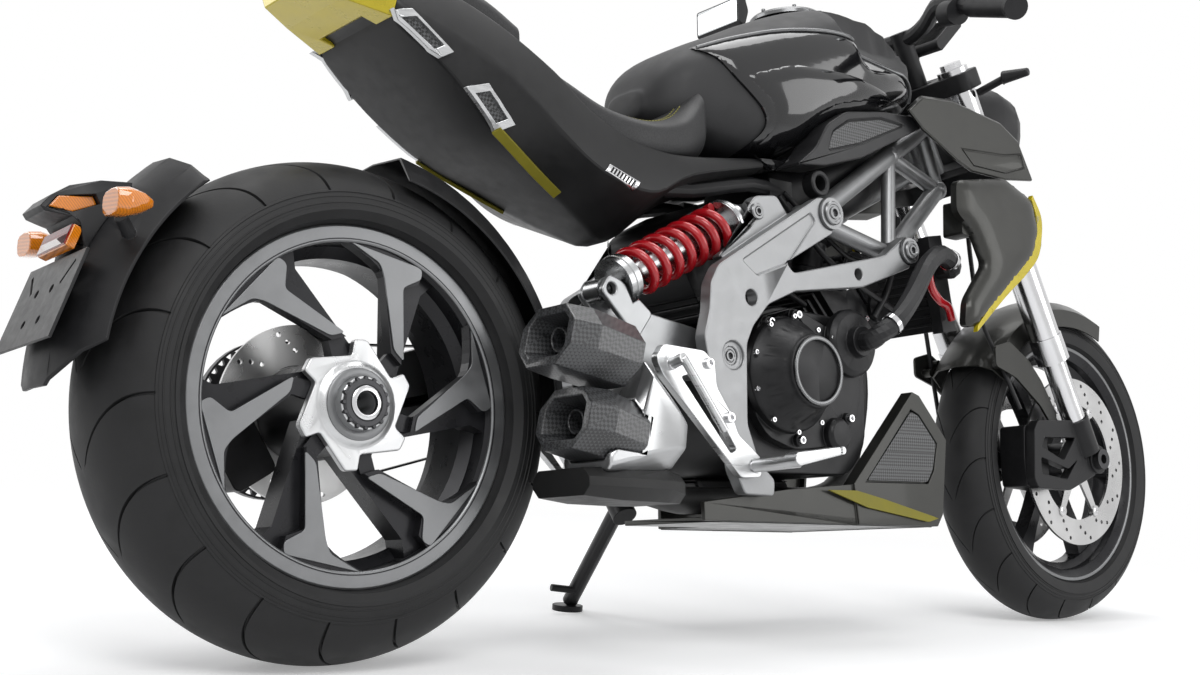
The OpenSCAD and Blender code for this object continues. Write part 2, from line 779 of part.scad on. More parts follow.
module belly_pan() {
    y = -plate_y + plate_t + 1;
    keel = [[520, 179], [1040, 171], [1054, 190], [1050, 236], [836, 236], [694, 226], [520, 206]];
    duct = [[838, 237], [990, 389], [1006, 384], [1072, 313], [1054, 190], [1040, 171], [846, 174]];
    mesh = [[866, 240], [984, 360], [1004, 352], [1048, 306], [1036, 262], [1020, 240]];
    color("#55575a")
        difference() {
            union() {
                both_sides() {
                    slab(y, y + 8)
                        polygon(keel);
                    difference() {
                        slab(y - 4, y + 20)
                            polygon(duct);
                        slab(y - 5, y + 3)
                            polygon(mesh);
                        slab(y + 8, y + 31)
                            polygon([[856, 230], [984, 358], [1066, 306], [1046, 190]]);
                    }
                }
                slab(-156, 156)
                    polygon([[560, 178], [1036, 171], [1056, 190], [1050, 194], [1032, 179], [560, 186]]);
            }
            translate([450, 60, 100])
                cube([270, 200, 200]);
        }
}

// ---- cooling ----
module radiator() {
    color("#1d1e20")
        translate([1108, 0, 560])
            rotate([0, -10, 0]) {
                translate([-14, -128, -56])
                    cube([28, 256, 158]);
                both_sides()
                    translate([-18, -150, -60])
                        cube([36, 22.5, 166]);
                for (z = [-45:15:90])
                    translate([-17, -128, z])
                        cube([34, 256, 3]);
            }
}

module radiator_shrouds() {
    outline = rounded([[1082, 749], [1216, 772], [1296, 742], [1310, 690], [1290, 640], [1196, 563], [1118, 500],
        [1084, 498], [1092, 545], [1150, 610], [1122, 664], [1078, 696]], 14);
    color("#8b8d8c")
        both_sides() {
            slab(-215, -206)
                polygon(outline);
            slab(-207, -160)
                polygon(rounded([[1100, 660], [1140, 660], [1150, 720], [1104, 720]], 6));
        }
    color("#b9a51b")
        both_sides()
            pipe(curve([[1300, -211, 738], [1316, -211, 690], [1296, -211, 640], [1200, -211, 561],
                [1112, -211, 492]], 4), 6, 8, [0, 1, 0]);
}

module upper_shrouds() {
    side = [[983, 856], [1019, 884], [1100, 892], [1235, 876], [1283, 852], [1321, 786], [1240, 776], [1146, 777],
        [1106, 790], [1018, 830]];
    inner = [for (p = side) p + [46, 22]];
    color("#4b4b46")
        both_sides()
            difference() {
                hull() {
                    slab(-195, -189)
                        polygon(side);
                    slab(-156, -150)
                        polygon(inner);
                }
                slab(-196, -192)
                    polygon([[1120, 812], [1240, 820], [1290, 830], [1298, 806], [1240, 788], [1150, 788]]);
                slab(-177, -100)
                    polygon([[900, 900], [1050, 870], [1050, 838], [1000, 810], [900, 790]]);
                slab(-167, -100)
                    polygon([[1160, 700], [1420, 700], [1420, 960], [1160, 960]]);
                tank_form(1);
            }
}

module side_panels() {
    intake = rounded([[726, 728], [790, 735], [880, 762], [1040, 840], [1019, 856], [937, 850], [846, 834],
        [800, 806], [770, 762]], 10);
    color("#3a3b3d")
        both_sides()
            difference() {
                slab(-176, -120)
                    polygon(intake);
                slab(-177, -172)
                    polygon(rounded([[800, 762], [880, 786], [990, 836], [930, 838], [850, 820], [812, 796]], 6));
                tank_form(1);
                seat_form(1);
                seat_rail_form(1);
            }
}

module coolant_hoses() {
    color("#1b1b1c")
        pipe(curve([[845, -193, 458], [845, -200, 458], [845, -207, 458], [854, -220, 468], [884, -228, 490],
            [930, -224, 534], [985, -212, 590], [1040, -196, 618], [1080, -186, 614], [1099, -175, 604],
            [1099, -164, 604], [1099, -151.5, 604]], 4), 16);
}

// ---- tank, seats, tail ----
function body_ring(x, w, z0, z1, p = 3, n = 24) = let (c = (z0 + z1) / 2, h = (z1 - z0) / 2)
    [for (k = [0:n - 1]) let (a = 360 * k / n, cc = cos(a), ss = sin(a))
        [x, w * sign(cc) * pow(abs(cc), 2 / p), c + h * sign(ss) * pow(abs(ss), 2 / p)]];

tank_rings = [[585, 60, 800, 895], [620, 105, 770, 925], [680, 138, 748, 962], [760, 156, 752, 1004],
    [840, 165, 778, 1034], [920, 166, 812, 1048], [1000, 156, 850, 1046], [1060, 132, 872, 1028],
    [1110, 92, 890, 996], [1140, 52, 905, 962]];
module tank_form(g = 0) {
    loft([for (r = tank_rings) body_ring(r[0], r[1] + g, r[2] - g, r[3] + g)]);
}

// Room for the handlebar's controls over each shoulder of the tank when the steering is at its stops
module shoulder_cut() {
    loft([for (q = [[840, 120, 1080], [905, 96, 992], [1160, 96, 992]])
        [for (p = [[-260, q[2] - 181], [-q[1], q[2]], [-q[1], 1130], [-260, 1130]]) [q[0], p[0], p[1]]]]);
}

module tank() {
    color("#19191b")
        difference() {
            tank_form();
            both_sides()
                shoulder_cut();
        }
}

rider_rings = [[292, 104, 776, 832], [330, 118, 742, 806], [390, 132, 706, 776], [470, 138, 700, 768],
    [540, 132, 708, 792], [590, 120, 720, 850]];
pillion_rings = [[84, 56, 886, 908], [130, 84, 866, 918], [190, 98, 840, 908], [250, 104, 812, 876]];
module seat_form(g = 0) {
    for (q = [rider_rings, pillion_rings])
        loft([for (i = [0:len(q) - 1]) let (r = q[i])
            body_ring(r[0] + (i == 0 ? -g : i == len(q) - 1 ? g : 0), r[1] + g, r[2] - g, r[3] + g, 4)]);
}

module seat() {
    color("#333438")
        difference() {
            seat_form();
            tank_form(1);
        }
}

// Ring of the tail: flat below, widest at the middle height and narrower on top
function tail_ring(r) = [for (p = [[-r[1], r[2]], [r[1], r[2]], [r[3], r[4]], [r[5], r[6]], [-r[5], r[6]],
    [-r[3], r[4]]]) [r[0], p[0], p[1]]];
tail_rings = [[-58, 40, 862, 46, 875, 30, 893], [0, 80, 848, 92, 868, 70, 908], [35, 98, 838, 106, 862, 84, 906],
    [127, 113, 771, 122, 820, 104, 890], [208, 96, 708, 131, 782, 113, 858], [290, 74, 668, 140, 716, 124, 808],
    [344, 60, 642, 145, 676, 128, 766], [400, 42, 618, 147, 655, 131, 738], [464, 24, 598, 146, 652, 134, 722],
    [540, 60, 660, 142, 690, 130, 722], [700, 110, 722, 130, 730, 118, 746]];
module tail_panels() {
    color("#2f3032")
        difference() {
            loft([for (r = tail_rings) tail_ring(r)]);
            seat_form(1);
            tank_form(1);
            seat_rail_form(1);
            both_sides()
                for (v = vents)
                    hull()
                        for (q = [[0, 96], [1, 120]])
                            translate([v[0] + 6 * q[0], -q[1], v[1] + 8 * q[0]])
                                rotate([0, v[2], 0])
                                    cube([v[3], 3, 22], center = true);
            loft([for (r = cap_rings) tail_ring(r + [0, 1, -1, 1, 0, 1, 1])]);
        }
}
vents = [[88, 822, 26, 84], [196, 744, 24, 78]];
cap_rings = [[-70, 44, 866, 52, 880, 36, 899], [-20, 74, 856, 84, 874, 58, 907], [44, 98, 838, 110, 864, 86, 912]];

module tail_cap() {
    color("#b9a51b")
        difference() {
            loft([for (r = cap_rings) tail_ring(r)]);
            translate([50, 0, 800])
                rotate([90, 0, 0])
                    cylinder(h = 110, r = 54, center = true);
            seat_form(1);
        }
}

module rear_hugger() {
    color("#222325")
        rear_axle_place()
            rotate([90, 0, 0])
                rotate_extrude(angle = 78, $fn = wheel_fn)
                    polygon(both_halves([[rear_r + 20, 0], [rear_r + 13, 70], [rear_r - 26, 107],
                        [rear_r - 24, 109], [rear_r + 16, 73], [rear_r + 23, 0]]));
}

plate_c = [-369, 0, 430];
plate_tilt = 21;
guard_half = [[378, 0], [374, 42], [354, 80], [333, 96], [329, 94], [349, 77], [369, 40], [373, 0]];
beak = [[-282, 576], [-320, 573], [-351, 566], [-372, 552], [-384, 538], [-380, 533], [-351, 528],
    [-343, 520], [-338, 494], [-350, 470], [-318, 452], [-290, 520]];
tail_lens = [[-376, 537], [-366, 550], [-326, 555], [-321, 545], [-350, 533]];
module reflector_form(g = 0) {
    translate([-349, 0, 503])
        rotate([0, plate_tilt, 0])
            cube([12 + g, 90 + g, 28 + g], center = true);
}

module rear_mudguard() {
    color("#3a3b3d") {
        difference() {
            rear_axle_place()
                rotate([90, 0, 0])
                    rotate([0, 0, 129])
                        rotate_extrude(angle = 50, $fn = wheel_fn)
                            polygon(both_halves(guard_half));
            both_sides() {
                translate([-330, -100, 345])
                    rotate([52, 0, 0])
                        cube([160, 60, 160], center = true);
                translate([-240, -108, 610])
                    rotate([-40, 0, 0])
                        cube([120, 60, 90], center = true);
            }
        }
        difference() {
            hull() {
                slab(-46, 46)
                    polygon([for (p = beak) if (p[0] > -345) p]);
                slab(-30, 30)
                    polygon([for (p = beak) if (p[1] > 525) p]);
            }
            slab(-60, 60)
                polygon([[-395, 532], [-380, 532], [-351, 527], [-343, 519], [-338, 494], [-346, 470], [-346, 430],
                    [-395, 430]]);
            slab(-60, 60)
                offset(delta = 0.5)
                    polygon(tail_lens);
            rear_axle_place()
                boss([0, 0], 373, -60, 60);
            reflector_form(1);
        }
        pipe(curve([[-70, arm_in + 13, rear_z + 8], [-150, arm_in + 16, rear_z + 50],
            [-250, arm_in + 4, rear_z + 116], [-302, 90, rear_z + 160]], 4), 12);
        translate(plate_c)
            rotate([0, plate_tilt, 0])
                difference() {
                    cube([4, 180, 112], center = true);
                    for (y = [-24, 24])
                        for (z = [-26, 14])
                            translate([0, y, z])
                                rotate([0, 90, 0])
                                    cylinder(h = 20, r = 5, center = true);
                    both_sides()
                        translate([0, -58, 30])
                            rotate([40, 0, 0])
                                cube([20, 5, 34], center = true);
                }
        difference() {
            translate(plate_c + [15, 0, 0])
                rotate([0, plate_tilt, 0])
                    cube([26, 76, 70], center = true);
            rear_axle_place()
                boss([0, 0], 375, -60, 60);
        }
        both_sides()
            rod([-296, -78, 503], [-318, -101, 520], 8);
    }
}

module rear_lamps() {
    color("#c46a14")
        both_sides()
            loft([for (r = [[-345, 24, 511, 541], [-330, 26, 511, 543], [-312, 20, 516, 540], [-298, 8, 524, 534]])
                [for (p = body_ring(r[0], r[1], r[2], r[3], 3, 12)) p - [0, 138, 0]]]);
    color("#b5661a")
        slab(-38, 38)
            polygon(tail_lens);
    color("#8d1a1a")
        reflector_form();
}

module rearsets() {
    y = -plate_y;
    hanger = rounded([[402, 400], [416, 420], [494, 416], [514, 398], [516, 366], [546, 325], [556, 300],
        [600, 268], [600, 240], [560, 238], [414, 376]], 7);
    slot = rounded([[448, 376], [470, 382], [488, 366], [552, 278], [540, 272]], 5);
    color("#b4b6b8")
        both_sides() {
            difference() {
                slab(y - 14, y - 1)
                    polygon(hanger);
                slab(y - 20, y)
                    polygon(slot);
                boss([500, 398], 6, y - 30, y);
                boss([538, 323], 6, y - 30, y);
            }
            rod([586, y - 13, 256], [612, y - 78, 260], 10);
            hull() {
                rod([606, y - 62, 262], [606, y - 86, 262], 10);
                rod([690, y - 60, 276], [690, y - 92, 276], 6);
            }
            rod([430, y - 13, 392], [430, y - 40, 398], 8);
            rod([430, y - 38, 398], [500, y - 44, 300], 6);
        }
}

// ---- front assembly ----
module triple_clamps() {
    web = [[-axle_offset - 34, -30], [-leg_offset - 20, -leg_y - 34], [-leg_offset + 30, -leg_y - 36],
        [-leg_offset + 34, -leg_y + 30], [-leg_offset + 20, 0], [-leg_offset + 34, leg_y - 30],
        [-leg_offset + 30, leg_y + 36], [-leg_offset - 20, leg_y + 34], [-axle_offset - 34, 30]];
    color("#2b2c2e")
        fork_frame() {
            difference() {
                for (s = [lower_clamp_s, upper_clamp_s])
                    translate([0, 0, s - 17])
                        linear_extrude(34)
                            polygon(rounded(web, 14));
                for (y = [-leg_y, leg_y])
                    translate([-leg_offset, y, 0])
                        cylinder(h = 1000, r = fork_outer_r);
                both_sides()
                    translate([-leg_offset - 14, -leg_y + 56, upper_clamp_s - 20])
                        cylinder(h = 60, r = 13);
            }
            translate([-axle_offset, 0, lower_clamp_s])
                cylinder(h = upper_clamp_s - lower_clamp_s, r = 20);
            translate([-axle_offset, 0, upper_clamp_s + 16])
                cylinder(h = 10, r = 22, $fn = 6);
        }
}

module fork_tubes() {
    color("#c9cacc")
        fork_frame()
            for (y = [-leg_y, leg_y])
                translate([-leg_offset, y, 0]) {
                    translate([0, 0, fork_outer_low])
                        cylinder(h = fork_top - fork_outer_low, r = fork_outer_r);
                    translate([0, 0, fork_outer_low - 14])
                        cylinder(h = 50, r = fork_outer_r + 2.5);
                    translate([0, 0, fork_top - 1])
                        cylinder(h = 12, r = 19, $fn = 6);
                    translate([0, 0, 40])
                        cylinder(h = fork_outer_low, r = fork_inner_r);
                }
}

module fork_lugs() {
    foot = rounded([[22, -18], [27, 10], [14, 60], [-14, 88], [-130, 142], [-150, 132], [-198, 56], [-196, 36],
        [-108, -12], [-20, -24]], 7);
    windows = [[[-40, 64], [-128, 106], [-146, 96], [-96, 44]], [[-56, 26], [-92, 24], [-158, 80], [-172, 54],
        [-106, 10]]];
    color("#2a2b2d")
        difference() {
            fork_frame()
                for (y = [-leg_y, leg_y]) {
                    translate([-leg_offset, y, 20])
                        cylinder(h = 70, r = 27);
                    slab(y - 10, y + 10)
                        difference() {
                            polygon(foot);
                            for (w = windows)
                                polygon(rounded(w, 5));
                        }
                    boss([0, 0], 27, y - 16, y + 16);
                }
            fork_frame()
                for (y = [-leg_y, leg_y])
                    translate([-leg_offset, y, 39])
                        cylinder(h = 200, r = fork_inner_r + fit);
            translate([wheelbase, 0, front_z])
                boss([0, 0], front_axle_r + fit, -200, 200);
        }
}

module front_calipers() {
    body = rounded([[-front_disc_r - 36, -56], [-front_disc_r - 40, 0], [-front_disc_r - 36, 56], [-118, 60],
        [-126, 22], [-120, 0], [-126, -22], [-118, -60]], 8);
    color("#3c3d40")
        fork_frame()
            both_sides()
                rotate([0, 28, 0])
                    difference() {
                        union() {
                            slab(-leg_y + 10.5, -front_disc_y + 28)
                                polygon(body);
                            for (z = [-26, 26])
                                boss([-148, z], 19, -front_disc_y - 26, -front_disc_y + 32);
                        }
                        boss([0, 0], front_disc_r + 6, -front_disc_y - 8, -front_disc_y + 8);
                    }
}

module front_fender() {
    rim = front_r - 40;
    arm = rounded([[-150, 300], [-104, 290], [-69, 239], [-52, 189], [-42, 116], [-52, 104], [-69, 108],
        [-80, 150], [-122, 226], [-166, 268]], 8);
    color("#45474a")
        fork_frame() {
            rotate([90, 0, 0])
                rotate([0, 0, 40])
                    rotate_extrude(angle = 80, $fn = wheel_fn)
                        polygon(both_halves([[front_r + 14, 0], [front_r + 8, 44], [front_r - 8, 66], [rim, 71],
                            [rim, 74], [front_r - 6, 69.5], [front_r + 11, 47], [front_r + 18, 0]]));
            both_sides() {
                slab(-leg_y + 10.5, -leg_y + 15.5)
                    polygon(arm);
                boss([-140, 262], 8, -leg_y + 14, -71);
                boss([-112, 268], 8, -leg_y + 14, -71);
            }
        }
}

lamp_c = [86, 0, 676];
module headlight() {
    color("#26272a")
        fork_frame() {
            translate(lamp_c)
                rotate([0, rake + 10, 0])
                    difference() {
                        loft([for (s = [[-34, 40, 50], [-16, 72, 84], [30, 94, 98], [70, 96, 90], [96, 84, 76],
                            [104, 78, 70]])
                            body_ring(s[0], s[1], -s[2], s[2] * 0.8, 3, 24)]);
                        loft([for (s = [[92, 72, 64], [120, 76, 68]])
                            body_ring(s[0], s[1], -s[2], s[2] * 0.8, 3, 24)]);
                    }
            both_sides()
                rod([-leg_offset + fork_outer_r + 4, -leg_y + 6, 690], [66, -74, 690], 9);
        }
    color("#b5661a")
        fork_frame()
            both_sides() {
                rod([-4, -leg_y - fork_outer_r - 2, 734], [14, -188, 744], 7);
                rod([12, -184, 746], [22, -232, 742], 12, 7);
            }
}

module instrument() {
    color("#151516")
        fork_frame() {
            translate([64, 0, upper_clamp_s + 86])
                rotate([0, rake - 44, 0])
                    difference() {
                        slab(-74, 74)
                            polygon(rounded([[-44, -12], [44, -12], [52, 0], [44, 12], [-44, 12], [-50, 0]], 5));
                        translate([-38, -64, 9])
                            cube([76, 128, 20]);
                    }
            rod([10, 0, upper_clamp_s + 17.5], [50, 0, upper_clamp_s + 78], 9);
        }
}

bar_clamp = [-axle_offset + 8, 0, upper_clamp_s + 108];
bar_points = [bar_clamp, bar_clamp + [0, -62, 0], bar_clamp + [-10, -110, 14], bar_clamp + [-46, -180, 42],
    bar_clamp + [-100, -270, 20], bar_clamp + [-158, -bar_half, 2]];
module handlebar() {
    half = curve(bar_points, 4);
    grip = bar_points[4];
    tip = bar_points[5];
    color("#1d1d1f")
        fork_frame() {
            pipe(concat([for (i = [len(half) - 1:-1:1]) [half[i][0], -half[i][1], half[i][2]]], half), bar_r, 12);
            both_sides() {
                rod([bar_clamp[0], -42, upper_clamp_s + 17], [bar_clamp[0], -42, upper_clamp_s + 122], 18);
                rod(grip, tip, 17.5);
                rod(tip - [0, 4, 0], tip + unit(tip - grip) * 16, 20);
                rod(grip + [10, 14, 0], grip + [34, 20, 4], 8);
                rod(grip + [30, 20, 2], grip + [52, -30, 4], 6.5);
                rod(grip + [52, -28, 4], tip + [60, 12, -2], 5);
                rod(grip + [2, 30, 0], grip + [16, 62, 2], 22);
                translate(grip + [40, 40, 26])
                    cylinder(h = 34, r = 20);
                rod(grip + [20, 40, 8], grip + [42, 40, 30], 9);
            }
        }
}

module mirrors() {
    head = bar_clamp + [-54, -300, 159];
    color("#222325")
        fork_frame()
            both_sides() {
                rod(bar_clamp + [-86, -250, 42], head + [4, 20, -20], 6);
                translate([head[0], head[1], head[2]])
                    rotate([0, rake, 0])
                        slab(-60, 60)
                            polygon(rounded([[-12, -28], [4, -30], [14, 0], [4, 30], [-12, 26]], 6));
            }
}

// ---- side stand ----
module side_stand() {
    deployed = stand_foot - stand_pivot;
    hinge = unit(cross(deployed, stand_stowed));
    color("#2a2b2d") {
        rod(stand_pivot, stand_foot + [0, -8, 16], stand_leg_r);
        rod(stand_pivot - 24 * hinge, stand_pivot + 24 * hinge, 20);
        translate(stand_foot)
            rotate([lean, 0, 0])
                cylinder(h = 10, r = foot_r);
        rod(stand_pivot + deployed * 0.8, stand_pivot + deployed * 0.8 + [-46, 12, 6], 6);
    }
}

place() rear_tyre();
place() rear_rim();
place() rear_hub();
place() rear_disc();
place() rear_sprocket();
place() front_tyre();
place() front_rim();
place() front_discs();
place() swingarm();
place() chain();
place() rear_caliper();
place() shock_body();
place() shock_spring();
place() trellis_frame();
place() frame_plates();
place() seat_rails();
place() engine_block();
place() engine_cylinders();
place() engine_covers();
place() exhaust_pipes();
place() silencer_body();
place() exhaust_tips();
place() belly_pan();
place() radiator();
place() radiator_shrouds();
place() upper_shrouds();
place() side_panels();
place() coolant_hoses();
place() tank();
place() seat();
place() tail_panels();
place() tail_cap();
place() rear_hugger();
place() rear_mudguard();
place() rear_lamps();
place() rearsets();
place() triple_clamps();
place() fork_tubes();
place() fork_lugs();
place() front_calipers();
place() front_fender();
place() headlight();
place() instrument();
place() handlebar();
place() mirrors();
place() front_axle();
place() side_stand();
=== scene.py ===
"""Power cruiser motorcycle: materials, finer pieces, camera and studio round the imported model."""
import json
import math

import bmesh
import bpy
from mathutils import Matrix, Vector
from mathutils.bvhtree import BVHTree


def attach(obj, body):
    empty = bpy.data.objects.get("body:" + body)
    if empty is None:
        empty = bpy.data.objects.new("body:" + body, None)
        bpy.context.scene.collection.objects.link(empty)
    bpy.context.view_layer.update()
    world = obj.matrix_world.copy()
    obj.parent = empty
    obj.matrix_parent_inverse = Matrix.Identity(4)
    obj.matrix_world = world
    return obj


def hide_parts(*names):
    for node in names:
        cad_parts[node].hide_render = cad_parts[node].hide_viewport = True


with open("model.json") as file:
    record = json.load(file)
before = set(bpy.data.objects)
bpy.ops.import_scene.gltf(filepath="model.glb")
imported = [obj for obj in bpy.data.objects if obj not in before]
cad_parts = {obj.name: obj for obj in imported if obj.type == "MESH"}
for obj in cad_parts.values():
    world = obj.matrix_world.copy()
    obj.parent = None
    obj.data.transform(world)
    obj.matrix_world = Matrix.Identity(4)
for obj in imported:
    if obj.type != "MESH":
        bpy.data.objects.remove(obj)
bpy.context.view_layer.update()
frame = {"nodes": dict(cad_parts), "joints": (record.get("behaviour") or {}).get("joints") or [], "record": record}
NODES = frame["nodes"]
BODIES = frame["record"]["behaviour"]["bodies"]
BODY_OF = {node: body for body, nodes in BODIES.items() for node in nodes}
SLOT_OF = {part["node"]: part["material_slot"] for part in frame["record"]["subparts"]}

# ---- the machine's frame, in millimetres and before the lean ----
# x goes ahead from the rear axle, y to the rider's left and z up from the ground.
LEAN = math.radians(8.0)
RAKE = math.radians(27.0)
WHEELBASE = 1592
REAR_AXLE_Z = 324
FRONT_AXLE_Z = 299.36
AXLE_OFFSET = 45  # from the steering's axis to the front axle
MILLIMETRE = Matrix.Scale(0.001, 4)
JOINTS = {j["name"]: j for j in frame["joints"]}
REAR_AXLE = Vector(JOINTS["rear_wheel_spin"]["pos_m"])
MACHINE = (Matrix.Translation(REAR_AXLE) @ Matrix.Rotation(-LEAN, 4, "X") @ MILLIMETRE
           @ Matrix.Translation((0, 0, -REAR_AXLE_Z)))
# Places whose axes are the machine's, a wheel's about its axle, or the fork's, with z up the fork legs.
REAR_WHEEL = MACHINE @ Matrix.Translation((0, 0, REAR_AXLE_Z))
FRONT_WHEEL = MACHINE @ Matrix.Translation((WHEELBASE, 0, FRONT_AXLE_Z))
FORK = FRONT_WHEEL @ Matrix.Rotation(-RAKE, 4, "Y")
CENTRE, RIGHT, UP = (0, 0, 0), (0, -1, 0), (0, 0, 1)


# ---- drawing in millimetres ----
def polar(radius, degrees):
    return radius * math.cos(math.radians(degrees)), radius * math.sin(math.radians(degrees))


def around(radius, count, first=0.0):
    """Points at equal angles on a circle."""
    return [polar(radius, first + 360 * k / count) for k in range(count)]


def between(a, b, c, d, s):
    """Smooth value at the share s of the way from b to c, with what comes before and after them."""
    return 0.5 * (2 * b + (c - a) * s + (2 * a - 5 * b + 4 * c - d) * s ** 2
                  + (3 * b - a - 3 * c + d) * s ** 3)


def spline(points, steps):
    """Smooth path through the points."""
    points = [Vector(p) for p in points]
    ends = [2 * points[0] - points[1]] + points + [2 * points[-1] - points[-2]]
    path = []
    for a, b, c, d in zip(ends, ends[1:], ends[2:], ends[3:]):
        path += [between(a, b, c, d, k / steps) for k in range(steps)]
    return path + [points[-1]]


def rounded(outline, radius, steps=4):
    """Flat outline with its corners cut to curves."""
    corners = [Vector(p) for p in outline]
    result = []
    for a, b, c in zip(corners[-1:] + corners[:-1], corners, corners[1:] + corners[:1]):
        t = min(radius, 0.45 * (a - b).length, 0.45 * (c - b).length)
        first, last = b + (a - b).normalized() * t, b + (c - b).normalized() * t
        for k in range(steps + 1):
            s = k / steps
            result.append((1 - s) ** 2 * first + 2 * s * (1 - s) * b + s * s * last)
    return [tuple(p) for p in result]


def across(direction):
    """Two directions at right angles to the one given."""
    d = Vector(direction).normalized()
    u = d.cross(Vector((0, 1, 0)) if abs(d.y) < 0.9 else Vector((0, 0, 1))).normalized()
    return u, d.cross(u)


class Form:
    """Closed surfaces drawn in millimetres, in one of the places, and gathered into one mesh."""

    def __init__(self, place=MACHINE):
        self.place = place
        self.points = []
        self.faces = []

    def add(self, points, faces):
        base = len(self.points)
        self.points += [Vector(p) for p in points]
        self.faces += [[base + i for i in face] for face in faces]
        return self

    def rings(self, rings, loop=False):
        """Skin over rings that have the same number of points, closed by caps or back to the first ring."""
        n = len(rings[0])
        count = len(rings)
        faces = []
        for k in range(count if loop else count - 1):
            a, b = k * n, (k + 1) % count * n
            faces += [[a + i, a + (i + 1) % n, b + (i + 1) % n, b + i] for i in range(n)]
        if not loop:
            faces += [list(range(n))[::-1], [(count - 1) * n + i for i in range(n)]]
        return self.add([p for ring in rings for p in ring], faces)

    def slab(self, outline, y0, y1):
        """Plate between two y."""
        return self.rings([[(x, y, z) for x, z in outline] for y in (y0, y1)])

    def lathe(self, start, direction, profile, sides=32):
        """Turned form of (radius, distance along the direction); hollow if it ends off its axis."""
        d = Vector(direction).normalized()
        u, v = across(d)
        start = Vector(start)
        turn = [2 * math.pi * k / sides for k in range(sides)]
        rings = [[start + d * h + (u * math.cos(t) + v * math.sin(t)) * max(r, 0.01) for t in turn]
                 for r, h in profile]
        return self.rings(rings, loop=profile[-1][0] > 0)

    def tube(self, path, radius, sides=12):
        """Round tube along a path; radius is a number or one for each point."""
        path = [Vector(p) for p in path]
        radii = radius if isinstance(radius, (list, tuple)) else [radius] * len(path)
        u, _ = across(path[1] - path[0])
        rings = []
        for k, point in enumerate(path):
            ahead = path[min(k + 1, len(path) - 1)] - path[max(k - 1, 0)]
            ahead.normalize()
            u = (u - ahead * u.dot(ahead)).normalized()
            v = ahead.cross(u)
            rings.append([point + (u * math.cos(a) + v * math.sin(a)) * radii[k]
                          for a in (2 * math.pi * i / sides for i in range(sides))])
        return self.rings(rings)

    def strap(self, path, width, height, aside):
        """Bar of oblong section along a path; aside gives the direction of its width."""
        path = [Vector(p) for p in path]
        rings = []
        for k, point in enumerate(path):
            ahead = (path[min(k + 1, len(path) - 1)] - path[max(k - 1, 0)]).normalized()
            w = (Vector(aside) - ahead * ahead.dot(Vector(aside))).normalized()
            h = ahead.cross(w)
            rings.append([point + w * width / 2 * a + h * height / 2 * b
                          for a, b in ((-1, -1), (1, -1), (1, 1), (-1, 1))])
        return self.rings(rings)

    def bolt(self, point, direction=RIGHT, radius=6.0, height=5.0):
        """Socket-head screw with its hollow."""
        r, h = radius, height
        return self.lathe(point, direction, [(r, 0), (r, h * 0.8), (r * 0.86, h), (r * 0.55, h),
                                             (r * 0.5, h * 0.35), (0, h * 0.3)], sides=18)

    def mirrored(self):
        """The same again on the other side of the middle plane."""
        points = [Vector((p[0], -p[1], p[2])) for p in self.points]
        return self.add(points, [face[::-1] for face in self.faces])

    def turned(self, count):
        """The same again at equal angles about the place's y axis."""
        points, faces = self.points[:], self.faces[:]
        for k in range(1, count):
            turn = Matrix.Rotation(2 * math.pi * k / count, 3, "Y")
            self.add([turn @ p for p in points], faces)
        return self

    def mesh(self, name):
        data = bpy.data.meshes.new(name)
        data.from_pydata([self.place @ p for p in self.points], [], self.faces)
        work = bmesh.new()
        work.from_mesh(data)
        bmesh.ops.recalc_face_normals(work, faces=work.faces)
        work.to_mesh(data)
        work.free()
        return data


EDGE_SEGMENTS = 2
SHARP, NEARLY_FLAT = 35, 2.0  # degrees between faces, on the CAD nodes
JOINED = 0.00002  # metres within which their points are one


def shade(data, degrees):
    """Smooth shading with edges that stay sharp from that angle on."""
    for face in data.polygons:
        face.use_smooth = True
    data.set_sharp_from_angle(angle=math.radians(degrees))


def soften(piece, width, degrees=32):
    """Rounded edges; width in millimetres."""
    edge = piece.modifiers.new("edge", "BEVEL")
    edge.width = width / 1000
    edge.segments = EDGE_SEGMENTS
    edge.limit_method = "ANGLE"
    edge.angle_limit = math.radians(degrees)
    edge.use_clamp_overlap = False
    edge.harden_normals = True


def place_piece(name, data, body, slot, replaces, finish):
    piece = bpy.data.objects.new(name, data)
    bpy.context.scene.collection.objects.link(piece)
    data.materials.clear()
    data.materials.append(MATERIALS[finish or slot])
    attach(piece, body)
    if replaces:
        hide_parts(*replaces)
    return piece


def make(name, form, slot, body="chassis", bevel=0.0, degrees=40, replaces=(), finish=None):
    """Puts a drawn form into the scene as a piece that rides on a body."""
    data = form.mesh(name)
    shade(data, degrees)
    piece = place_piece(name, data, body, slot, replaces, finish)
    if bevel:
        soften(piece, bevel)
    return piece


def refined(node, bevel):
    """Copy of a CAD node with rounded edges, which stands for it."""
    data = NODES[node].data.copy()
    data.name = node + "_form"
    work = bmesh.new()
    work.from_mesh(data)
    bmesh.ops.remove_doubles(work, verts=work.verts, dist=JOINED)
    bmesh.ops.dissolve_limit(work, angle_limit=math.radians(NEARLY_FLAT), verts=work.verts, edges=work.edges,
                             use_dissolve_boundaries=False)
    work.to_mesh(data)
    work.free()
    shade(data, SHARP)
    piece = place_piece(node + "_finished", data, BODY_OF[node], SLOT_OF[node], (node,),
                        NODE_FINISH.get(node))
    soften(piece, bevel, SHARP)


# ---- materials ----
PLAIN_SPECULAR = 0.28


def new_material(name):
    material = bpy.data.materials.new(name)
    material.use_nodes = True
    return material, material.node_tree.nodes, material.node_tree.links


def filled(node, **values):
    """The node with its sockets set; _ in a socket's name stands for a space."""
    for name, value in values.items():
        node.inputs[name.replace("_", " ")].default_value = value
    return node


def added(nodes, kind, **values):
    return filled(nodes.new(kind), **values)


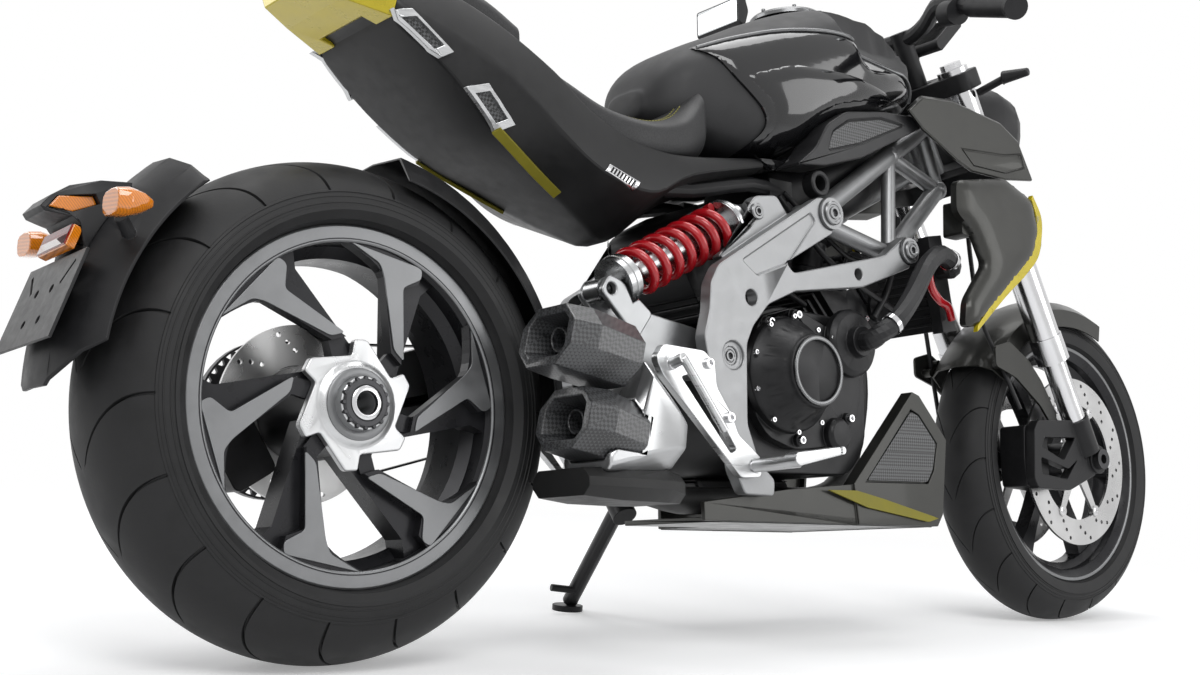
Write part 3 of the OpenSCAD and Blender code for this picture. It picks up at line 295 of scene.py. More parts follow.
def shader_of(nodes, **values):
    return filled(nodes["Principled BSDF"], **values)


def mapped(nodes, links, stretch=(1, 1, 1), turn=(0, 0, 0)):
    coordinates = added(nodes, "ShaderNodeTexCoord")
    mapping = added(nodes, "ShaderNodeMapping", Scale=stretch, Rotation=[math.radians(t) for t in turn])
    links.new(coordinates.outputs["Object"], mapping.inputs["Vector"])
    return mapping.outputs["Vector"]


def noise(nodes, links, scale, detail=4.0, stretch=(1, 1, 1)):
    texture = added(nodes, "ShaderNodeTexNoise", Scale=scale, Detail=detail, Roughness=0.55)
    links.new(mapped(nodes, links, stretch), texture.inputs["Vector"])
    return texture


def vary(nodes, links, texture, low, high, socket):
    """Drives a socket between two values by a texture."""
    spread = added(nodes, "ShaderNodeMapRange", From_Min=0.3, From_Max=0.7, To_Min=low, To_Max=high)
    links.new(texture.outputs[0], spread.inputs["Value"])
    links.new(spread.outputs["Result"], socket)


def tint(nodes, links, source, dark, light, socket, edges=(0.35, 0.65)):
    """Drives a colour socket between two shades."""
    ramp = added(nodes, "ShaderNodeValToRGB")
    for element, position, colour in zip(ramp.color_ramp.elements, edges, (dark, light)):
        element.position = position
        element.color = (*colour, 1)
    links.new(source, ramp.inputs["Fac"])
    links.new(ramp.outputs["Color"], socket)


def bump(nodes, links, source, strength, distance):
    relief = added(nodes, "ShaderNodeBump", Strength=strength, Distance=distance)
    links.new(source, relief.inputs["Height"])
    links.new(relief.outputs["Normal"], shader_of(nodes).inputs["Normal"])


def surface(name, colour, metallic, roughness, grain=60.0, relief=0.0, spread=0.12, coat=0.0,
            stretch=(1, 1, 1), rough_spread=0.06):
    """Paint, plastic, rubber or metal with colour and gloss that vary a little, and a fine relief."""
    material, nodes, links = new_material(name)
    shader = shader_of(nodes, Metallic=metallic, Specular_IOR_Level=PLAIN_SPECULAR)
    if coat:
        filled(shader, Coat_Weight=coat, Coat_Roughness=0.04)
    texture = noise(nodes, links, grain, stretch=stretch)
    dark = tuple(c * (1 - spread) for c in colour)
    light = tuple(min(1.0, c * (1 + spread)) for c in colour)
    tint(nodes, links, texture.outputs[0], dark, light, shader.inputs["Base Color"])
    vary(nodes, links, texture, max(0.02, roughness - rough_spread), roughness + rough_spread,
         shader.inputs["Roughness"])
    if relief:
        fine = noise(nodes, links, grain * 9, detail=3)
        bump(nodes, links, fine.outputs[0], 0.5, relief)
    return material


def woven(name, dark, light, size, turn, relief, coat=0.0):
    """Small chequers of two shades, as in carbon cloth or fine mesh."""
    material, nodes, links = new_material(name)
    shader = shader_of(nodes, Roughness=0.42)
    if coat:
        filled(shader, Coat_Weight=coat, Coat_Roughness=0.12)
    checker = added(nodes, "ShaderNodeTexChecker", Scale=1 / size, Color1=(*dark, 1), Color2=(*light, 1))
    links.new(mapped(nodes, links, turn=turn), checker.inputs["Vector"])
    links.new(checker.outputs["Color"], shader.inputs["Base Color"])
    bump(nodes, links, checker.outputs["Fac"], 0.3, relief)
    return material


def grained(name, colour, roughness, size, relief):
    """Leather or rubbery cover with small round grains."""
    material, nodes, links = new_material(name)
    shader = shader_of(nodes, Specular_IOR_Level=0.3)
    cells = added(nodes, "ShaderNodeTexVoronoi", Scale=1 / size)
    links.new(mapped(nodes, links), cells.inputs["Vector"])
    tint(nodes, links, cells.outputs["Distance"], tuple(c * 1.15 for c in colour),
         tuple(c * 0.75 for c in colour), shader.inputs["Base Color"], (0.1, 0.7))
    wear = noise(nodes, links, 14)
    vary(nodes, links, wear, roughness - 0.06, roughness + 0.08, shader.inputs["Roughness"])
    bump(nodes, links, cells.outputs["Distance"], 0.35, relief)
    return material


def lens(name, colour):
    """Clear coloured plastic with fine ribs inside."""
    material, nodes, links = new_material(name)
    shader = shader_of(nodes, Roughness=0.08, Coat_Weight=1.0)
    ribs = added(nodes, "ShaderNodeTexWave", Scale=110, Distortion=0.5)
    links.new(mapped(nodes, links, turn=(0, 40, 0)), ribs.inputs["Vector"])
    tint(nodes, links, ribs.outputs["Fac"], tuple(c * 0.72 for c in colour), colour,
         shader.inputs["Base Color"], (0.1, 0.9))
    return material


MATERIALS = {
    "tyre": surface("tyre_rubber", (0.015, 0.015, 0.0155), 0.0, 0.58, grain=30, relief=0.0002, spread=0.22,
                    rough_spread=0.08),
    "rim_grey": surface("rim_paint", (0.19, 0.193, 0.197), 0.75, 0.36, grain=30, spread=0.05),
    "rim_black": surface("rim_black_paint", (0.018, 0.018, 0.02), 0.3, 0.3, grain=30, spread=0.1),
    "bright_metal": surface("machined_metal", (0.5, 0.505, 0.51), 0.95, 0.3, grain=12, spread=0.06,
                            stretch=(1, 1, 20)),
    "hub_silver": surface("hub_paint", (0.52, 0.525, 0.53), 0.85, 0.3, grain=12, spread=0.05),
    "silencer_silver": surface("silencer_metal", (0.46, 0.465, 0.47), 0.9, 0.32, grain=10, spread=0.06,
                               stretch=(1, 12, 1)),
    "disc_steel": surface("disc_steel", (0.5, 0.5, 0.5), 1.0, 0.3, grain=15, spread=0.05),
    "dark_steel": surface("dark_steel", (0.06, 0.06, 0.063), 0.9, 0.38),
    "arm_grey": surface("arm_paint", (0.3, 0.305, 0.31), 0.8, 0.36, grain=30, relief=0.00004, spread=0.05),
    "black_cast": surface("black_cast", (0.013, 0.013, 0.014), 0.3, 0.4, relief=0.0001),
    "shock_metal": surface("shock_metal", (0.42, 0.425, 0.43), 1.0, 0.27, grain=30),
    "spring_red": surface("spring_paint", (0.42, 0.006, 0.012), 0.05, 0.24, grain=30, spread=0.08,
                          coat=0.7),
    "frame_silver": surface("frame_paint", (0.25, 0.253, 0.257), 0.75, 0.4, grain=50, relief=0.00005,
                            spread=0.05),
    "black_plastic": surface("black_plastic", (0.012, 0.012, 0.013), 0.0, 0.46, relief=0.0001),
    "engine_black": surface("engine_paint", (0.014, 0.014, 0.015), 0.25, 0.38, relief=0.00012),
    "exhaust_black": surface("exhaust_paint", (0.018, 0.018, 0.018), 0.2, 0.48, relief=0.0001),
    "carbon": woven("carbon", (0.012, 0.012, 0.013), (0.06, 0.062, 0.065), size=0.0042, turn=(35, 40, 20),
                    relief=0.0001, coat=0.35),
    "mesh": woven("metal_mesh", (0.006, 0.006, 0.006), (0.085, 0.087, 0.09), size=0.0036, turn=(0, 45, 0),
                  relief=0.0004),
    "panel_grey": surface("panel_paint", (0.042, 0.042, 0.039), 0.7, 0.36, grain=30, spread=0.05,
                          coat=0.15),
    "panel_dark": surface("panel_dark", (0.017, 0.017, 0.018), 0.0, 0.4, relief=0.0001),
    "tail_dark": surface("tail_paint", (0.014, 0.014, 0.0145), 0.1, 0.44, relief=0.00005),
    "hose": surface("hose_rubber", (0.014, 0.014, 0.015), 0.0, 0.42),
    "tank_satin": surface("tank_satin", (0.026, 0.026, 0.027), 0.0, 0.55, grain=40, relief=0.00008,
                          spread=0.1),
    # Grey metal for the filler cap, bolts and clutch ring, and for the tube that is a painted highlight on the
    # tank covers' top crease.
    "trim_metal_and_highlight": surface("trim_metal_and_highlight", (0.16, 0.162, 0.165), 0.9, 0.28, grain=20, spread=0.05),
    "tank_black": surface("tank_paint", (0.007, 0.007, 0.008), 0.1, 0.12, grain=20, spread=0.1, coat=0.8,
                          rough_spread=0.02),
    "leather": grained("seat_cover", (0.03, 0.03, 0.031), roughness=0.5, size=0.0022, relief=0.0002),
    "thread": surface("thread", (0.24, 0.22, 0.06), 0.0, 0.7, grain=400),
    "yellow": surface("yellow_paint", (0.5, 0.4, 0.01), 0.2, 0.3, grain=30, spread=0.05, coat=0.5),
    "yellow_dull": surface("yellow_stripe", (0.2, 0.175, 0.012), 0.0, 0.45, grain=30, spread=0.05),
    "lamp_amber": lens("amber_lens", (0.8, 0.24, 0.012)),
    "lamp_red": lens("red_lens", (0.28, 0.012, 0.012)),
    "glass": surface("mirror_glass", (0.75, 0.77, 0.78), 1.0, 0.03, grain=20, spread=0.01,
                     rough_spread=0.01),
    "chrome": surface("fork_metal", (0.6, 0.6, 0.61), 1.0, 0.18, grain=20, spread=0.03),
}
NODE_FINISH = {"rear_rim": "rim_black", "rear_hub": "hub_silver", "silencer_body": "silencer_silver",
               "tail_panels": "tail_dark"}
for node_name, node in NODES.items():
    node.data.materials.clear()
    node.data.materials.append(MATERIALS[NODE_FINISH.get(node_name, SLOT_OF[node_name])])


# ---- wheels ----
# In degrees: where a groove starts and ends across the tread, and how far its middle trails its ends.
GROOVE_FROM, GROOVE_TO = 4, 71
LAG, LAG_END = 16, 70


def ridge(start, end, slope, height):
    """Raised line on a sidewall, as angles across the tyre and heights there."""
    return [(start, 0), (start + slope, height), (end - slope, height), (end, 0)]


SIDEWALL = (ridge(70, 73, 0.5, 1.1) + ridge(76, 77.6, 0.4, 0.7) + ridge(82, 83.6, 0.4, 0.7)
            + [(86, 0), (86.6, 1.4), (90, 1.4)])


def groove_depth(angle):
    """How deep a groove is, from 0 to 1, at an angle across the tread."""
    a = abs(angle)
    return max(0.0, min(1.0, (a - GROOVE_FROM) / 6, (GROOVE_TO - a) / 4))


def groove_lag(angle):
    """How far a groove trails round the tyre, in degrees, at an angle across the tread."""
    return LAG * (1 - min(abs(angle), LAG_END) / LAG_END) ** 2.4


def tyre_form(place, radius, width, crown, lip, rim_width, grooves, depth, opening):
    """Tyre whose mesh lines follow its curved grooves; lip is the radius at which it ends inside the rim."""
    half = [(angle, 0.0) for angle in range(0, 70, 3)] + SIDEWALL
    inside = [(lip + 4, (width + rim_width) / 4 + 3), (lip + 1, rim_width / 2),
              (lip - 4, rim_width / 2 - 7.5)]
    pitch = 360 / grooves
    slope = opening * 0.2
    columns = [(0, 0), (slope, 1), (opening - slope, 1), (opening, 0)]
    columns += [(opening + (pitch - opening) * k / 9, 0) for k in range(1, 9)]

    def point(angle, out, side, turn, cut):
        a = math.radians(angle)
        r = radius - crown * (1 - math.cos(a)) + out * 0.3 - depth * cut * groove_depth(angle)
        x, z = polar(r, turn + groove_lag(angle))
        return x, side * (width / 2 * math.sin(a) + out), z

    rings = []
    for k in range(grooves):
        for offset, cut in columns:
            turn = k * pitch + offset
            right = [point(angle, out, -1, turn, cut) for angle, out in half]
            left = [point(angle, out, 1, turn, cut) for angle, out in half[1:]]
            for r, y in inside:
                x, z = polar(r, turn)
                right.append((x, -y, z))
                left.append((x, y, z))
            rings.append(left[::-1] + right)
    return Form(place).rings(rings, loop=True)


BLADE_FACE_Y, BLADE_BACK_Y = -82, -79.5
HUB_RING_Y, NUT_Y, COLLAR_Y = -88, -100, -103
BUTTON_CIRCLE, BUTTON_Y, FRONT_CAP_Y = 110, -70, -66


def tyres():
    rear = tyre_form(REAR_WHEEL, radius=324, width=208, crown=80, lip=230, rim_width=168,
                     grooves=18, depth=6.0, opening=0.9)
    make("rear_tyre_tread", rear, "tyre", "rear_wheel", degrees=28, replaces=("rear_tyre",))
    front = tyre_form(FRONT_WHEEL, radius=300, width=120, crown=52, lip=228, rim_width=100,
                      grooves=18, depth=4.5, opening=0.8)
    make("front_tyre_tread", front, "tyre", "front_wheel", degrees=28, replaces=("front_tyre",))


def rear_rim():
    """Painted faces of the blades and of the rim's edge, and the dark line in it."""
    blade = rounded([polar(92, -20), polar(171, 6), polar(196, 0), polar(209, 2), polar(209, 33),
                     polar(188, 19.5), polar(174, 16.5), polar(92, -7)], 6)
    faces = Form(REAR_WHEEL).slab(blade, BLADE_FACE_Y, BLADE_BACK_Y).turned(6)
    faces.lathe(CENTRE, RIGHT, [(207, 80), (207, 83), (209, 84.6), (227, 84.6), (229.5, 83),
                                (229.5, 80)], sides=128)
    make("rear_rim_faces", faces, "rim_grey", "rear_wheel", bevel=0.7)
    line = Form(REAR_WHEEL)
    line.lathe(CENTRE, RIGHT, [(210.5, 84), (210.5, 84.9), (212, 84.9), (212, 84)], sides=128)
    make("rim_line", line, "rim_grey", "rear_wheel", finish="rim_black")


def rear_hub():
    refined("rear_hub", 2.4)
    ring = Form(REAR_WHEEL)
    ring.lathe((0, HUB_RING_Y, 0), RIGHT, [(46, 0), (46, 2.6), (44, 3.6), (36, 3.6), (34, 2.6), (34, 0)],
               sides=64)
    make("hub_ring", ring, "bright_metal", "rear_wheel", finish="rim_grey", bevel=0.4)
    nut = Form(REAR_WHEEL)
    nut.lathe((0, NUT_Y, 0), RIGHT, [(31, 0), (31, 6), (29, 8), (23, 8), (22, 6), (16, 6), (16, 0)], sides=64)
    for x, z in around(31, 16):
        nut.lathe((x, NUT_Y - 1, z), RIGHT, [(3.2, 0), (3.2, 5), (2.4, 6.5), (0, 6.5)], sides=10)
    make("hub_nut", nut, "dark_steel", "rear_wheel", bevel=0.3)
    collar = Form(REAR_WHEEL)
    collar.lathe((0, COLLAR_Y, 0), RIGHT, [(21.5, 0), (21.5, 5.5), (20, 6.5), (15.5, 6.5), (15.2, 0)],
                 sides=48)
    make("hub_collar", collar, "bright_metal", "rear_wheel", finish="chrome")


def front_wheel():
    refined("front_rim", 1.2)
    edge = Form(FRONT_WHEEL)
    for side in (-1, 1):
        edge.lathe(CENTRE, (0, side, 0), [(221, 46), (221, 50), (222, 50.6), (226.5, 50.6), (227.6, 49.6),
                                          (227.6, 46)], sides=128)
    make("front_rim_edge", edge, "rim_black", "front_wheel", finish="rim_grey")
    buttons = Form(FRONT_WHEEL)
    for x, z in around(BUTTON_CIRCLE, 6):
        buttons.lathe((x, BUTTON_Y, z), RIGHT, [(8, 0), (8, 2.4), (7, 3.2), (3, 3.2), (3, 1), (0, 1)],
                      sides=20)
    make("disc_buttons", buttons.mirrored(), "disc_steel", "front_wheel", finish="chrome")
    caps = Form(FRONT_WHEEL)
    caps.lathe((0, FRONT_CAP_Y, 0), RIGHT, [(34, 0), (34, 6), (30, 9), (20, 9), (20, 3), (0, 3)], sides=40)
    make("front_hub_caps", caps.mirrored(), "rim_black", "front_wheel", bevel=0.6)


# ---- nodes that only need rounded edges, and how wide those are in millimetres ----
EDGE_WIDTHS = {
    "swingarm": 3.0, "frame_plates": 2.2, "rearsets": 1.2, "exhaust_tips": 2.0, "silencer_body": 4.0,
    "engine_covers": 1.4, "engine_block": 4.0, "engine_cylinders": 1.6, "belly_pan": 1.4, "radiator": 1.0,
    "fork_lugs": 1.8, "front_calipers": 2.4, "triple_clamps": 2.5, "rear_caliper": 2.0, "side_panels": 3.0,
    "rear_mudguard": 1.0, "headlight": 3.0, "instrument": 2.0, "mirrors": 2.0, "rear_hugger": 0.8,
    "rear_lamps": 1.6, "tail_cap": 2.0, "seat_rails": 0.8, "side_stand": 1.0, "upper_shrouds": 3.0,
    "front_fender": 0.8, "exhaust_pipes": 1.0,
}


def plain_nodes():
    for node, width in EDGE_WIDTHS.items():
        refined(node, width)


# ---- panels laid on a surface ----
class Skin:
    """Where a form's surface lies when looked at from the machine's right or from above."""

    FROM_RIGHT, FROM_ABOVE = -600, 1500
    NEAR_SIDE, NEAR_TOP = -160, 900

    def __init__(self, form):
        self.tree = BVHTree.FromPolygons(form.points, form.faces)

    def seen(self, start, direction, near):
        """Point of the surface ahead, or where there is none, the one nearest to a place close by."""
        hit = self.tree.ray_cast(Vector(start), Vector(direction))[0]
        return hit or self.tree.find_nearest(Vector(near))[0]

    def side(self, x, z):
        return self.seen((x, self.FROM_RIGHT, z), (0, 1, 0), (x, self.NEAR_SIDE, z)).y

    def top(self, x, y):
        return self.seen((x, y, self.FROM_ABOVE), (0, 0, -1), (x, y, self.NEAR_TOP)).z


def flat(y):
    """Upright plane to lay a panel on."""
    return lambda x, z: y


def edge_distance(outline, x, z):
    p = Vector((x, z))
    nearest = math.inf
    for a, b in zip(outline, outline[1:] + outline[:1]):
        a, b = Vector(a), Vector(b)
        s = max(0.0, min(1.0, (p - a).dot(b - a) / max((b - a).length_squared, 1e-9)))
        nearest = min(nearest, (a + (b - a) * s - p).length)
    return nearest


def cut_in_squares(work, outline, step):
    """Cuts the flat face of a bmesh along both axes, step apart."""
    for axis, direction in ((0, (1, 0, 0)), (1, (0, 0, 1))):
        low, high = min(p[axis] for p in outline), max(p[axis] for p in outline)
        for k in range(1, int((high - low) / step) + 1):
            bmesh.ops.bisect_plane(work, geom=work.verts[:] + work.edges[:] + work.faces[:],
                                   plane_co=[(low + k * step) * d for d in direction], plane_no=direction)


def laid(form, outline, side, lift=2.0, depth=6.0, crown=0.0, reach=30.0, step=9.0):
    """Plate of that outline, in side view, laid on a surface; it swells by crown within reach of its edge."""
    work = bmesh.new()
    work.faces.new([work.verts.new((x, 0, z)) for x, z in outline])
    cut_in_squares(work, outline, step)
    work.verts.index_update()
    points = []
    for v in work.verts:
        rise = 0.0
        if crown:
            s = min(1.0, edge_distance(outline, v.co.x, v.co.z) / reach)
            rise = crown * math.sqrt(s * (2 - s))
        points.append(Vector((v.co.x, side(v.co.x, v.co.z) - lift - rise, v.co.z)))
    faces = [[v.index for v in face.verts] for face in work.faces]
    border = [[v.index for v in edge.verts] for edge in work.edges if edge.is_boundary]
    work.free()
    rim = sorted({i for pair in border for i in pair})
    under = {i: len(points) + k for k, i in enumerate(rim)}
    points += [points[i] + Vector((0, depth, 0)) for i in rim]
    faces += [[a, b, under[b], under[a]] for a, b in border]
    return form.add(points, faces)


def hoop(form, outline, share, side, lift=5.0, sink=4.0):
    """Raised rim round an outline in side view; share is how much of the outline its opening takes."""
    line = []
    for a, b in zip(outline, outline[1:] + outline[:1]):
        line += [Vector(a).lerp(Vector(b), k / 5) for k in range(5)]
    centre = sum(line, Vector((0, 0))) / len(line)
    rings = []
    for scale, out in ((1.0, -sink), (1.0, lift), (share, lift), (share * 0.92, -sink)):
        rings.append([(p.x, side(p.x, p.y) - out, p.y) for p in (centre.lerp(q, scale) for q in line)])
    return form.rings(rings, loop=True)


# ---- bodies drawn by rows along x ----
OVAL_POINTS = 64
END_SHARES, END_REACH = (0.5, 0.8, 0.93), 9


def stations(rows, steps):
    """Rows of numbers smoothed along the first one."""
    smooth = []
    for a, b, c, d in zip([rows[0]] + rows, rows, rows[1:], rows[2:] + [rows[-1]]):
        smooth += [[between(*four, k / steps) for four in zip(a, b, c, d)] for k in range(steps)]
    return smooth + [rows[-1]]


def oval(x, width, low, high, power=3.0):
    """Upright rounded section; the higher the power, the squarer."""
    ring = []
    for k in range(OVAL_POINTS):
        c, s = polar(1, 360 * k / OVAL_POINTS)
        ring.append((x, width * math.copysign(abs(c) ** (2 / power), c),
                     (low + high) / 2 + (high - low) / 2 * math.copysign(abs(s) ** (2 / power), s)))
    return ring


def capped(rows):
    """Rows with smaller ones added at both ends, so that a form closes in a round."""
    def shrunk(row, direction, share):
        x, width, low, high = row
        middle, half = (low + high) / 2, (high - low) / 2 * share
        return [x + direction * END_REACH * math.sqrt(1 - share * share), width * share,
                middle - half, middle + half]
    first = [shrunk(rows[0], -1, share) for share in END_SHARES]
    last = [shrunk(rows[-1], 1, share) for share in END_SHARES]
    return first + rows + last[::-1]


def oval_body(rows, steps, power):
    """Form over rows of x, half width, lowest and highest z."""
    return Form().rings([oval(*row, power=power) for row in capped(stations(rows, steps))])


# ---- tank ----
TANK = [[530, 46, 800, 850], [545, 72, 790, 880], [575, 96, 776, 912], [620, 116, 762, 938],
        [680, 138, 748, 966], [760, 156, 752, 1004], [840, 165, 778, 1034], [920, 166, 812, 1049],
        [1000, 156, 850, 1047], [1060, 132, 872, 1029], [1110, 92, 890, 997], [1138, 54, 904, 963]]
TANK_COVER = [(592, 914), (617, 897), (646, 862), (690, 818), (700, 800), (698, 785), (676, 752), (722, 727),
              (742, 733), (770, 764), (804, 812), (842, 832), (950, 858), (1030, 868), (1076, 888),
              (1088, 905), (1040, 925), (967, 943), (906, 960), (836, 968), (740, 958), (660, 938)]
TANK_FLANK = [(655, 868), (704, 826), (714, 796), (696, 757), (724, 738), (764, 776), (796, 822), (838, 846),
              (950, 874), (1010, 884), (860, 900), (740, 896)]
# Line along the top edge of the tank covers; a grey metal tube here is a painted highlight on the crease there.
TANK_CREASE_HIGHLIGHT = [(600, 914), (660, 936), (740, 957), (836, 967), (906, 959), (967, 942), (1040, 924), (1080, 906)]
CAP_X, CAP_Z = 900, 1046

# The room over the tank's shoulders starts at the first point and is full from the second one on.
SHOULDER_START, SHOULDER_FULL = Vector((840, 120, 1080)), Vector((905, 96, 992))
SHOULDER_OUTER_Y, SHOULDER_FALL, SHOULDER_GAP = 260, 181, 0.5


def under_shoulder(point):
    """Keeps a point below the room that the handlebar's controls need over the tank's shoulders."""
    x, y, z = point
    share = max(0.0, min(1.0, (x - SHOULDER_START.x) / (SHOULDER_FULL.x - SHOULDER_START.x)))
    _, inner, height = SHOULDER_START.lerp(SHOULDER_FULL, share)
    if x < SHOULDER_START.x or abs(y) < inner:
        return x, y, z
    fall = (abs(y) - inner) * SHOULDER_FALL / (SHOULDER_OUTER_Y - inner)
    return x, y, min(z, height - fall - SHOULDER_GAP)


def tank():
    sections = [[under_shoulder(p) for p in oval(*row)] for row in capped(stations(TANK, 4))]
    body = Form().rings(sections)
    skin = Skin(body)
    make("tank_body", body, "tank_black", replaces=("tank",), finish="tank_satin")
    cover = laid(Form(), rounded(TANK_COVER, 9), skin.side, lift=5, depth=9, crown=3, reach=14, step=7)
    make("tank_covers", cover.mirrored(), "tank_black", degrees=50)
    flank = laid(Form(), rounded(TANK_FLANK, 12), skin.side, lift=7, depth=5, crown=5, reach=26, step=7)
    make("tank_flanks", flank.mirrored(), "tank_black", degrees=50)
    # Painted highlight: a grey metal tube along the covers' top crease, where the gloss black catches the light.
    edge = Form()
    for side in (-1, 1):
        edge.tube([(x, -side * (skin.side(x, z) - 8), z) for x, z in spline(TANK_CREASE_HIGHLIGHT, 5)], 3.2, 10)
    make("tank_crease_highlight", edge, "tank_black", finish="trim_metal_and_highlight")


def filler_cap():
    cap = Form()
    cap.lathe((CAP_X, 0, CAP_Z), (-0.05, 0, 1), [(62, 0), (62, 6), (58, 10), (50, 11), (48, 9), (30, 9),
                                                 (28, 12), (8, 12), (6, 10), (0, 10)], sides=56)
    for x, y in around(54, 6):
        cap.bolt((CAP_X + x, y, CAP_Z + 9), UP, 3.5, 4)
    make("filler_cap", cap, "tank_black", bevel=0.5, finish="trim_metal_and_highlight")


# ---- seats ----
RIDER = [[292, 100, 778, 834], [330, 116, 744, 810], [390, 130, 708, 782], [470, 137, 702, 774],
         [540, 131, 710, 797], [588, 118, 722, 850]]
PILLION = [[88, 54, 886, 910], [130, 83, 866, 922], [190, 97, 840, 912], [246, 103, 814, 880]]
SEAT_POWER = 3.4
SEAM_RADIUS, SEAM_SINK = 1.6, 0.3
STITCH_FROM_SEAM = 5
STITCH_PITCH, STITCH_LENGTH, STITCH_RADIUS, STITCH_LIFT = 7.0, 4.6, 0.9, 0.5


def stitched(form, skin, path):
    """Row of stitches along a path on top of a cushion."""
    path = [Vector((x, y, skin.top(x, y) + STITCH_LIFT)) for x, y in path]
    done = 0.0
    for a, b in zip(path, path[1:]):
        ahead = (b - a).normalized()
        while done < (b - a).length:
            start = a + ahead * done
            form.tube([start, start + ahead * STITCH_LENGTH], STITCH_RADIUS, 6)
            done += STITCH_PITCH
        done -= (b - a).length


def seam(form, skin, line):
    form.tube([(x, y, skin.top(x, y) - SEAM_SINK) for x, y in line], SEAM_RADIUS, 8)


def seats():
    rider, pillion = oval_body(RIDER, 6, SEAT_POWER), oval_body(PILLION, 6, SEAT_POWER)
    rider_seat = make("rider_seat", rider, "leather", degrees=60, replaces=("seat",))
    pillion_seat = make("pillion_seat", pillion, "leather", degrees=60, replaces=("seat",))
    rider_skin, pillion_skin = Skin(rider), Skin(pillion)
    seams, threads = Form(), Form()
    for skin, edge in ((rider_skin, [(300, 78), (360, 96), (430, 104), (500, 100), (560, 84)]),
                       (pillion_skin, [(94, 40), (150, 66), (200, 72), (238, 76)])):
        for side in (-1, 1):
            line = [(x, side * y) for x, y in spline(edge, 8)]
            seam(seams, skin, line)
            for offset in (-STITCH_FROM_SEAM, STITCH_FROM_SEAM):
                stitched(threads, skin, [(x, y + offset) for x, y in line])
    for skin, x, half in ((rider_skin, 318, 80), (rider_skin, 560, 84), (pillion_skin, 226, 74)):
        line = [(x, -half + 2 * half * k / 12) for k in range(13)]
        seam(seams, skin, line)
        stitched(threads, skin, [(x + STITCH_FROM_SEAM, y) for x, y in line])
    make("seat_seams", seams, "leather", finish="black_plastic")
    make("seat_stitches", threads, "leather", finish="thread")


# ---- tail: rows of x, then y and z of its lower edge, fold and upper edge ----
TAIL = [[-56, 34, 868, 40, 876, 25, 887], [0, 74, 855, 86, 869, 64, 902], [38, 92, 845, 100, 861, 78, 901],
        [54, 99, 826, 108, 852, 88, 902], [127, 113, 771, 122, 820, 104, 890],
        [208, 96, 708, 131, 782, 113, 858], [290, 74, 668, 140, 716, 124, 808],
        [344, 60, 642, 145, 676, 128, 766], [400, 42, 618, 147, 655, 131, 738],
        [464, 26, 600, 146, 652, 134, 722], [540, 60, 660, 142, 690, 130, 722],
        [700, 110, 722, 130, 730, 118, 746]]
VENTS = [[(34, 844), (62, 848), (122, 798), (104, 788)], [(146, 757), (178, 766), (231, 719), (208, 708)]]
GRILLE = [(362, 668), (371, 679), (426, 660), (417, 648)]
SLATS = 9


def tail_section(row):
    x, low_y, low_z, mid_y, mid_z, top_y, top_z = row
    left = [(low_y, low_z), (mid_y, mid_z), (top_y, top_z)]
    right = [(-y, z) for y, z in left]
    return [(x, y, z) for y, z in rounded(right[:1] + left + right[:0:-1], 7, 3)]


def tail_vents(skin):
    rims, meshes = Form(), Form()
    for vent in VENTS:
        hoop(rims, vent, 0.66, skin.side, lift=7, sink=3)
        middle = sum((Vector(p) for p in vent), Vector((0, 0))) / len(vent)
        laid(meshes, [tuple(middle.lerp(Vector(p), 0.68)) for p in vent], skin.side, lift=0.6, depth=2)
    make("vent_rims", rims.mirrored(), "panel_grey", bevel=1.0, degrees=30, finish="bright_metal")
    make("vent_meshes", meshes.mirrored(), "panel_grey", finish="mesh")


def tail_strips():
    line = spline([(206, -100, 711), (240, -92, 693), (290, -78, 668), (338, -66, 646)], 5)
    strips = Form().strap(line, 15, 5, (0, -0.75, 0.65)).mirrored()
    make("tail_strips", strips, "yellow", bevel=1.2, degrees=30, finish="yellow_dull")


def side_grilles(skin):
    rims = hoop(Form(), GRILLE, 0.8, skin.side, lift=2.6, sink=2)
    back_low, back_high, front_high, front_low = (Vector(p) for p in GRILLE)
    slats = Form()
    for k in range(SLATS):
        s = (k + 1) / (SLATS + 1)
        low, high = back_low.lerp(front_low, s), back_high.lerp(front_high, s)
        ends = [low.lerp(high, 0.15), low.lerp(high, 0.85)]
        slats.strap([(p.x, skin.side(p.x, p.y) - 1, p.y) for p in ends], 2.4, 1.8, (1, 0, 0))
    make("side_grille_rims", rims.mirrored(), "panel_grey", bevel=0.4, degrees=30, finish="chrome")
    make("side_grille_slats", slats.mirrored(), "panel_grey", finish="chrome")


def tail():
    body = Form().rings([tail_section(row) for row in stations(TAIL, 4)])
    make("tail_body", body, "panel_grey", degrees=24, replaces=("tail_panels",), finish="tail_dark")
    skin = Skin(body)
    tail_vents(skin)
    tail_strips()
    side_grilles(skin)


# ---- shrouds, mesh and belly pan; every y is that of the right side ----
SHROUD_Y = -209
SHROUD_STAY_Y = -200
SIDE_MESH_Y = -172.4
BELLY_MESH_Y = -165.8
BELLY_FLASH_Y = -171


